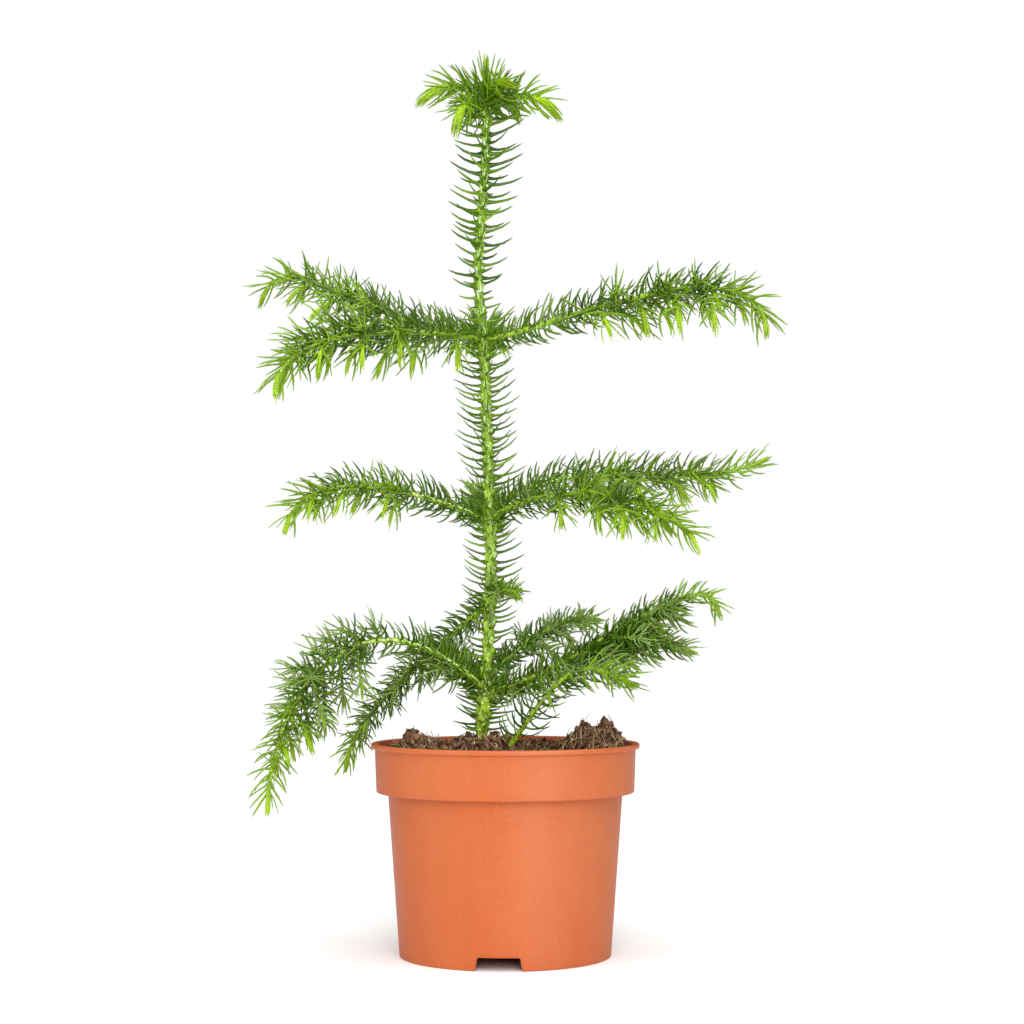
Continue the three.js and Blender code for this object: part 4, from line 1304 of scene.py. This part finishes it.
class POTTED_PINE_OT_soil(Operator):
    """Build the soil with its mounds, crumbs, fibres and moss"""

    bl_idname = "potted_pine.soil"
    bl_label = "Soil"

    def execute(self, context):
        settings = context.scene.potted_pine
        soil = settings.soil
        peat, crumb, straw = soil.peat, soil.crumb, soil.straw
        random = np.random.default_rng(SOIL_SEED)
        bed = soil_bed(settings.pot).object("soil_bed", finish("peat", peat, shaded(crumb, 0.7), PEAT_LOOK))
        turn_outward(bed.data)
        finish_piece(bed, ["soil"])
        loose = {
            "soil_crumbs": (
                soil_crumbs(soil.crumbs, random),
                finish("peat_crumb", shaded(peat, 1.3), shaded(crumb, 1.5), CRUMB_LOOK), CRUMB_CREASE,
            ),
            "soil_fibres": (
                soil_strands(soil.fibres, FIBRES, random),
                finish("straw", *shades(straw, STRAW_SHADES), STRAW_LOOK),
            ),
            "soil_roots": (
                soil_strands(soil.roots, ROOTS, random),
                finish("root", shaded(peat, 1.4), shaded(crumb, 1.2), ROOT_LOOK),
            ),
            "soil_moss": (soil_moss(soil.moss, random), finish("moss", MOSS_GREEN, MOSS_PALE, MOSS_LOOK)),
        }
        for name, (shape, *looks) in loose.items():
            finish_piece(shape.object(name, *looks))
        return {"FINISHED"}


def rough_soil(x, y):
    """Height of the crumbly surface in millimetres: ragged mounds that fall to the rim, and a bank at the back."""
    smooth = soil_height(x, y)
    mound = np.clip((smooth - SOIL_LEVEL) / MOUND_RISE, 0, 1)
    for clump_x, clump_y, rise, wide, deep in SOIL_CLUMPS:
        smooth = smooth + rise * np.exp(-(((x - clump_x) / wide) ** 2) - ((y - clump_y) / deep) ** 2)
    lumps = np.array([
        noise.turbulence(Vector((a * LUMP_GRAIN, b * LUMP_GRAIN, LUMP_LAYER)), 4, False) for a, b in zip(x, y)
    ])
    clods = np.array([noise.noise(Vector((a * CLOD_GRAIN, b * CLOD_GRAIN, CLOD_LAYER))) for a, b in zip(x, y)])
    bank = BANK_RISE * np.clip((y - BANK_FROM) / BANK_RUN, 0, 1)
    height = smooth + bank * (1 - mound) + (lumps - 0.5) * (LUMP_RISE + LUMP_MOUND_RISE * mound)
    height = height + CLOD_RISE * clods * mound
    edge = np.clip((np.hypot(x, y) - EDGE_FROM) / EDGE_RUN, 0, 1)
    return height - EDGE_FALL * edge * np.maximum(height - EDGE_LEVEL, 0)


def soil_bed(pot):
    """A closed body that fills the pot, with a crumbly top."""
    inner = pot.band_foot_radius / MM - pot.wall / MM - SOIL_GAP
    turns = even_turns(SOIL_COLUMNS)
    shoulder = ((inner - 0.5, 75.6), (inner, 77))
    rows = [circle(radius, turns, height) for radius, height in (*SOIL_BODY, *shoulder)]
    for radius in np.concatenate([[inner], np.linspace(inner - 0.6, 0.8, SOIL_ROWS)]):
        x, y = circle(radius, turns)[:, :2].T
        rows.append(circle(radius, turns, rough_soil(x, y)))
    shape = Shape()
    shape.add_tube(np.array(rows) * MM)
    return shape


def scattered(count, random, gathered):
    """Places on the soil, a share of them gathered on the mounds."""
    radius = SOIL_REACH * np.sqrt(random.uniform(0, 1, count))
    x, y = circle(radius, random.uniform(0, TURN, count))[:, :2].T
    mounds = np.array(SOIL_MOUNDS[: len(GATHERING)])
    pick = random.choice(len(GATHERING), count, p=GATHERING)
    near = mounds[pick, :2] + random.normal(0, GATHERING_SPREAD, (count, 2)) * mounds[pick, 3:4]
    use = (random.uniform(0, 1, count) < gathered) & (np.hypot(*near.T) < SOIL_REACH)
    return np.where(use, near[:, 0], x), np.where(use, near[:, 1], y)


def soil_crumbs(count, random):
    """Loose crumbs, each a small uneven lump half sunk in the surface."""
    made = bmesh.new()
    bmesh.ops.create_icosphere(made, subdivisions=1, radius=1)
    lump = np.array([corner.co for corner in made.verts])
    faces = np.array([[corner.index for corner in face.verts] for face in made.faces])
    made.free()
    x, y = scattered(count, random, CRUMB_GATHERED)
    size = np.clip(random.lognormal(*CRUMB_SPREAD, count), *CRUMB_SIZES)
    centre = np.stack([x, y, rough_soil(x, y) + CRUMB_SEAT * size], -1)
    shape = Shape()
    for place, scale in zip(centre, size):
        spin = np.linalg.qr(random.normal(0, 1, (3, 3)))[0]
        uneven = lump * random.uniform(*CRUMB_LUMPS, (len(lump), 1)) * random.uniform(*CRUMB_SQUASH, (1, 3))
        shape.add((place + uneven @ spin * scale) * MM, faces if np.linalg.det(spin) > 0 else faces[:, ::-1])
    return shape


def add_strand(shape, points, radius):
    """A thin three-sided strand that tapers to both ends."""
    heading = unit(np.gradient(points, axis=0))
    side = unit(np.cross(heading, STRAND_SIDE))
    across = np.cross(heading, side)
    turns = even_turns(3)
    taper = radius * np.sin(np.linspace(STRAND_TAPER, math.pi - STRAND_TAPER, len(points)))[:, None, None]
    away = side[:, None] * np.cos(turns)[None, :, None] + across[:, None] * np.sin(turns)[None, :, None]
    shape.add_tube((points[:, None] + away * taper) * MM)


def laid_line(x, y, bearing, run, aside=0.0):
    """Places along a line that runs at a bearing and bows aside."""
    ahead, across = math.cos(bearing), math.sin(bearing)
    return x + run * ahead - aside * across, y + run * across + aside * ahead


def soil_strands(count, kind, random):
    """Thin strands that lie on the soil, a share of them standing with a free end in the air."""
    shape = Shape()
    t = np.linspace(-0.5, 0.5, 6)
    for px, py in zip(*scattered(count, random, kind.gathered)):
        length = random.uniform(*kind.lengths)
        bearing = random.uniform(0, TURN)
        bow = random.normal(0, STRAND_BOW) * length
        free = random.uniform(*FREE_RISE) if random.uniform() < kind.standing else 0.0
        run = t * length * (1 - FREE_COVER * free)
        x, y = laid_line(px, py, bearing, run, bow * (0.25 - t**2) * 4)
        out = np.maximum(np.hypot(x, y) / STRAND_REACH, 1)
        x, y = x / out, y / out
        lift = STRAND_LIFT + free * length * np.clip(t + FREE_FROM, 0, 1) ** FREE_CURVE
        points = np.stack([x, y, rough_soil(x, y) + lift], -1)
        add_strand(shape, points, random.uniform(*kind.girths))
    return shape


def soil_moss(count, random):
    """Short blades of moss and old needle scraps on the soil in front of and beside the trunk."""
    shape = Shape()
    t = np.linspace(0, 1, 4)
    for i in range(count):
        px, py = MOSS_SPOTS[i % len(MOSS_SPOTS)] + random.normal(0, MOSS_SPREAD, 2)
        length = random.uniform(*MOSS_LENGTHS)
        x, y = laid_line(px, py, random.uniform(0, TURN), t * length)
        base = rough_soil(x[:1], y[:1]) + STRAND_LIFT
        points = np.stack([x, y, base + random.uniform(*MOSS_RISE) * length * t * (MOSS_ARCH - t)], -1)
        add_strand(shape, points, random.uniform(*MOSS_GIRTHS))
    return shape


class POTTED_PINE_OT_trunk(Operator):
    """Build the trunk's ridged bark and its needles"""

    bl_idname = "potted_pine.trunk"
    bl_label = "Trunk"

    def execute(self, context):
        tree = context.scene.potted_pine.tree
        random = np.random.default_rng(TRUNK_SEED)
        line, bed, bands = TrunkLine(), NeedleBed(), []
        for start, end, spacing, length, tip_lean, girth in TRUNK_NEEDLE_BANDS:
            share = [(height - TRUNK_FOOT) / (TRUNK_TOP - TRUNK_FOOT) for height in (start, end)]
            radii = smooth_values(TRUNK_RADIUS, np.array((start, end), float)) * MM
            band = Stem(line, *share, radii, spacing * MM, TRUNK_TURN_RATE * start)
            bands.append(band)
            leans = (TRUNK_NEEDLE_LEAN, tip_lean)
            row = needles_along(band, random, (leans, leans), (length * MM, length * MM), scatter=TRUNK_SCATTER)
            tones = random.choice(TRUNK_TONES, len(band.along), p=TRUNK_DEAL)
            bed.add(tones, *row, girth * random.uniform(*TRUNK_GIRTHS, len(band.along)))
        shape = Shape()
        add_wood(shape, TrunkStem(line, bands), TRUNK_WOOD, whorl_swelling)
        finish_piece(shape.object("trunk_bark", trunk_finish(tree)), ["trunk"])
        bed.join(tree, TRUNK_NEEDLE_PROFILE, "trunk_needles", "trunk", "trunk", ["trunk"])
        return {"FINISHED"}


class TrunkStem(Stem):
    """The trunk's whole wood, under the needles of all its bands."""

    def __init__(self, line, bands):
        self.route, self.start, self.end, self.run = line, 0, 1, line.length
        self.along = np.concatenate([lerp(band.start, band.end, band.along) for band in bands])
        self.turns = np.concatenate([band.turns for band in bands])

    def radius(self, along):
        return (smooth_values(TRUNK_RADIUS, lerp(TRUNK_FOOT, TRUNK_TOP, along)) - BARK_DEPTH) * MM


def whorl_swelling(points):
    """How far the trunk swells where boughs leave it."""
    heights = points[:, 2] / MM
    roots = [plan.height for plan in BOUGHS if plan.height is not None]
    swell = [WHORL_RISE * np.exp(-(((heights - root) / WHORL_SPREAD) ** 2)) for root in roots]
    return np.max(swell, axis=0) * MM


def trunk_finish(tree_settings):
    old_bark = tree_settings.old_bark
    material = finish("trunk_bark", tree_settings.bark, shaded(old_bark, 0.7), BARK_LOOK)

    def age(tree, colour):
        """Yellow-green toward the foot, with small brown scars low down."""
        place = object_place(tree)
        height = add_node(tree, "SeparateXYZ", {0: place}).outputs["Z"]
        low = add_range(tree, height, *OLD_HEIGHTS, to_low=1.0, to_high=0.0)
        old = add_mottle(tree, shaded(old_bark, 0.25), old_bark, OLD_BARK_LOOK)
        aged = add_mix(tree, low, colour, old["Colour"])
        near_foot = add_range(tree, height, *SCAR_HEIGHTS, to_low=1.0, to_high=0.0)
        spots = add_range(tree, add_noise(tree, place, scale=210.0, detail=3.0), low=0.62, high=0.7)
        return add_mix(tree, add_math(tree, "MULTIPLY", near_foot, spots), aged, SCAR_COLOUR)

    recolour(material, age)
    return material


class POTTED_PINE_OT_boughs(Operator):
    """Build the ridged wood of the boughs and their twigs"""

    bl_idname = "potted_pine.boughs"
    bl_label = "Boughs"

    def execute(self, context):
        settings = context.scene.potted_pine
        old_bark = settings.tree.old_bark
        bough_bark = finish("bough_bark", *shades(old_bark, BOUGH_SHADES), BARK_LOOK)
        twig_bark = finish("twig_bark", *shades(old_bark, TWIG_SHADES), BARK_LOOK)
        for tier, members in grow_branches(settings):
            boughs, twigs = Shape(), Shape()
            for branch in members:
                for stem in (branch.limb, *branch.stems):
                    add_wood(boughs, stem, BOUGH_WOOD)
                for _, twig in (*branch.twigs, *branch.fine_twigs):
                    add_wood(twigs, twig, TWIG_WOOD)
            piece = boughs.object(f"boughs_{tier.name}", bough_bark)
            finish_piece(piece, [f"bough_{branch.name}" for branch in members])
            finish_piece(twigs.object(f"twigs_{tier.name}", twig_bark), mass_nodes(members))
        return {"FINISHED"}


def mass_nodes(branches):
    """Names of the solids that the branches' foliage stands for."""
    return [
        f"foliage_{branch.name}{ending}" for branch in branches
        for ending in ("", "_fall")[: len(branch.plan.masses)]
    ]


class POTTED_PINE_OT_foliage(Operator):
    """Build the needles of every bough, joined by tier and tone"""

    bl_idname = "potted_pine.foliage"
    bl_label = "Foliage"

    def execute(self, context):
        settings = context.scene.potted_pine
        random = np.random.default_rng(FOLIAGE_SEED)
        for tier, members in grow_branches(settings):
            bed = NeedleBed()
            for branch in members:
                self.dress(branch, bed, settings.pot, random)
            label = f"needles_{tier.name}"
            bed.join(settings.tree, NEEDLE_PROFILE, label, "needle", "foliage", mass_nodes(members))
        return {"FINISHED"}

    def dress(self, branch, bed, pot, random):
        """Sets needles along a branch's limb, stems and twigs, with a brush at each tip."""
        tier, bright_from = branch.tier, BRIGHT_END.get(branch.name)
        for stem in (branch.limb, *branch.stems):
            last = stem is branch.stems[-1]
            sizes = (branch.needle, branch.needle)
            if stem is branch.limb:
                limb = branch.limb_scale * branch.needle
                sizes = (tier.limb * limb, LIMB_END * limb)
            leans = STEM_END_LEANS if last else STEM_LEANS
            row = needles_along(stem, random, leans, sizes, STEM_LIFT, tier.scatter)
            tones = self.old_tones(stem, tier, random)
            if last:
                reach = BRIGHT_YOUNG if bright_from else STEM_YOUNG
                tones = np.maximum(tones, young_end(stem, reach, FRESH, random))
            self.plant(bed, tones, row, tier.girth, pot, random)
        self.plant_brush(bed, branch.stems[-1], BRIGHT_TIER if bright_from else tier, pot, random, BRUSH_MORE)
        for twigs, closed in ((branch.twigs, True), (branch.fine_twigs, False)):
            for share, twig in twigs:
                tip = BRIGHT_TIER if bright_from and share > bright_from else tier
                self.dress_twig(twig, bed, branch, tip, pot, random)
                if closed:
                    self.plant_brush(bed, twig, tip, pot, random)

    def dress_twig(self, twig, bed, branch, tip, pot, random):
        """Sets needles along a twig, the last of them in a young tone."""
        sizes = [scale * branch.twig_needle for scale in TWIG_NEEDLES]
        row = needles_along(twig, random, TWIG_LEANS, sizes, TWIG_LIFT, branch.tier.scatter)
        tones = self.old_tones(twig, branch.tier, random)
        tones = np.maximum(tones, young_end(twig, TWIG_YOUNG, tip.tip - 1, random))
        self.plant(bed, tones, row, branch.tier.girth, pot, random)

    def old_tones(self, stem, tier, random):
        """Each spray has a main tone, with strays of another one and pale ones among them, whose paler colour is
        painted reflection.
        """
        main, other = (tier.old, tier.stray) if random.uniform() < MAIN_LEADS else (tier.stray, tier.old)
        return random.choice((main, other, SHEEN_PALE), len(stem.along), p=OLD_DEAL)

    def plant(self, bed, tones, row, girth, pot, random):
        """Adds the needles of a row that stay clear of soil, pot and trunk."""
        clear = clear_needles(*row, pot)
        girths = girth * random.uniform(*NEEDLE_GIRTHS, len(tones))
        bed.add(tones[clear], *[part[clear] for part in row], girths[clear])

    def plant_brush(self, bed, stem, tip, pot, random, more=0):
        """Closes a tip with its brush of young needles."""
        count = tip.brush + more
        row = brush_at_tip(stem, random, count, tip.brush_length * MM, BRUSH_SPREAD)
        self.plant(bed, np.full(count, tip.tip), row, BRUSH_GIRTH * tip.girth, pot, random)


class POTTED_PINE_OT_top_shoots(Operator):
    """Build the young shoots of the top whorl and the leader's tuft"""

    bl_idname = "potted_pine.top_shoots"
    bl_label = "Top Shoots"

    def execute(self, context):
        tree = context.scene.potted_pine.tree
        random = np.random.default_rng(TOP_SEED)
        wood, bed = Shape(), NeedleBed()
        for i, plan in enumerate(TOP_SHOOTS):
            route = bough_route(plan, trunk_points(plan.height))
            end = 1 - SHOOT_TIP_BACK * MM / route.length
            turn = TURN * SeededRun(SHOOT_SEED + SHOOT_SEED_STEP * i)()
            stem = Stem(route, 0, end, SHOOT_RADII, SHOOT_SPACING, turn)
            add_wood(wood, stem, SHOOT_WOOD)
            row = needles_along(stem, random, SHOOT_LEANS, SHOOT_NEEDLES, SHOOT_LIFT, SHOOT_SCATTER)
            tones = np.maximum(LEAF, young_end(stem, SHOOT_YOUNG, FRESH, random))
            bed.add(tones, *row, random.uniform(*SHOOT_GIRTHS, len(tones)))
            self.close_tip(bed, stem, SHOOT_BRUSH, random)
        leader = Stem(TrunkLine(), LEADER_FROM, 1, LEADER_RADII, LEADER_SPACING, 0)
        count = len(leader.along)
        row = needles_along(leader, random, LEADER_LEANS, SHOOT_NEEDLES)
        bed.add(random.choice((LEAF, FRESH), count), *row, random.uniform(*LEADER_GIRTHS, count))
        self.close_tip(bed, leader, LEADER_TUFT, random)
        nodes = [f"shoot_{plan.name}" for plan in TOP_SHOOTS]
        bark = finish("shoot_bark", tree.fresh, tree.bark, BARK_LOOK)
        finish_piece(wood.object("top_shoots", bark), nodes)
        bed.join(tree, NEEDLE_PROFILE, "top_needles", "top", "shoot", nodes)
        return {"FINISHED"}

    def close_tip(self, bed, stem, brush, random):
        """Closes a tip with lime and fresh needles."""
        row = brush_at_tip(stem, random, brush.count, brush.length, brush.spread)
        tones = random.choice((LIME, FRESH), brush.count, p=brush.deal)
        bed.add(tones, *row, random.uniform(*brush.girths, brush.count))


class POTTED_PINE_OT_stage(Operator):
    """Set the camera, the pale floor and the soft studio light"""

    bl_idname = "potted_pine.stage"
    bl_label = "Stage"

    def execute(self, context):
        scene = context.scene
        stage = scene.potted_pine.stage
        camera = bpy.data.cameras.new("camera")
        camera.lens = stage.lens
        camera.sensor_width = SENSOR_WIDTH
        view = place_object("camera", camera)
        view.location = stage.camera
        view.rotation_euler = (math.pi / 2 + stage.pitch, 0, 0)
        scene.camera = view
        scene.view_settings.view_transform = "Standard"
        self.lay_floor(stage)
        self.light_world(scene, stage)
        self.hang_lamp("key", KEY_PLACE, KEY_SIZE, stage.key)
        self.hang_lamp("fill", FILL_PLACE, FILL_SIZE, FILL_SHARE * stage.key)
        self.hang_sheen(stage)
        self.add_sun(stage)
        return {"FINISHED"}

    def lay_floor(self, stage):
        """A wide pale floor that is no part of the plant."""
        made = bmesh.new()
        bmesh.ops.create_grid(made, x_segments=2, y_segments=2, size=FLOOR_HALF)
        mesh = bpy.data.meshes.new("floor")
        made.to_mesh(mesh)
        made.free()
        material = bpy.data.materials.new("floor")
        material.use_nodes = True
        shader = material.node_tree.nodes["Principled BSDF"]
        shader.inputs["Base Color"].default_value = opaque(stage.floor)
        shader.inputs["Roughness"].default_value = FLOOR_ROUGHNESS
        mesh.materials.append(material)
        place_mesh("floor", mesh)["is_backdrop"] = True

    def light_world(self, scene, stage):
        """A white surround that shows bright, lights the plant softly and is dim in reflections."""
        world = bpy.data.worlds.new("daylight")
        world.use_nodes = True
        tree = world.node_tree
        background = tree.nodes["Background"]
        background.inputs["Color"].default_value = (1, 1, 1, 1)
        path = tree.nodes.new("ShaderNodeLightPath").outputs
        soft = add_range(tree, path["Is Glossy Ray"], 0, 1, stage.daylight, GLOSS_SHARE * stage.daylight)
        tree.links.new(add_math(tree, "MAXIMUM", soft, path["Is Camera Ray"]), background.inputs["Strength"])
        scene.world = world

    def add_sun(self, stage):
        """Broad light from above that covers the whole floor evenly."""
        sun = bpy.data.lights.new("overhead", "SUN")
        sun.energy = stage.overhead
        sun.angle = SUN_SPREAD
        place_object("overhead", sun).rotation_euler = SUN_TILT

    def hang_lamp(self, name, place, size, power):
        """A square lamp that points at the plant."""
        lamp = bpy.data.lights.new(name, "AREA")
        lamp.size = size
        lamp.energy = power
        hung = place_object(name, lamp)
        hung.location = place
        hung.rotation_euler = (LAMP_AIM - Vector(place)).to_track_quat("-Z", "Y").to_euler()
        return hung

    def hang_sheen(self, stage):
        """An upright strip on the right that only shows in gloss."""
        strip = self.hang_lamp("sheen", SHEEN_PLACE, SHEEN_WIDTH, stage.sheen)
        strip.data.shape = "RECTANGLE"
        strip.data.size_y = SHEEN_HEIGHT
        strip.visible_diffuse = False


class POTTED_PINE_PT_panel(Panel):
    """Lists the pieces of the potted pine"""

    bl_label = "Potted Pine"
    bl_space_type = "VIEW_3D"
    bl_region_type = "UI"
    bl_category = "Potted Pine"

    def draw(self, context):
        settings = context.scene.potted_pine
        for group in (settings.pot, settings.soil, settings.tree, settings.stage):
            box = self.layout.box()
            for name in group.bl_rna.properties.keys():
                if name not in ("rna_type", "name"):
                    box.prop(group, name)
        for operator in OPERATORS:
            self.layout.operator(operator.bl_idname)


SETTINGS = (PotSettings, SoilSettings, TreeSettings, StageSettings, PottedPineSettings)
OPERATORS = (
    POTTED_PINE_OT_pot,
    POTTED_PINE_OT_soil,
    POTTED_PINE_OT_trunk,
    POTTED_PINE_OT_boughs,
    POTTED_PINE_OT_foliage,
    POTTED_PINE_OT_top_shoots,
    POTTED_PINE_OT_stage,
)


def register():
    for cls in (*SETTINGS, *OPERATORS, POTTED_PINE_PT_panel):
        bpy.utils.register_class(cls)
    bpy.types.Scene.potted_pine = PointerProperty(type=PottedPineSettings)


def unregister():
    del bpy.types.Scene.potted_pine
    for cls in reversed((*SETTINGS, *OPERATORS, POTTED_PINE_PT_panel)):
        bpy.utils.unregister_class(cls)


def main():
    register()
    bpy.ops.potted_pine.pot()
    bpy.ops.potted_pine.soil()
    bpy.ops.potted_pine.trunk()
    bpy.ops.potted_pine.boughs()
    bpy.ops.potted_pine.foliage()
    bpy.ops.potted_pine.top_shoots()
    bpy.ops.potted_pine.stage()
    boxes = {"cad": CAD_BOX, "visual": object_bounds()}
    {name: [list(corner) for corner in box] for name, box in boxes.items()}


if __name__ == "__main__":
    main()
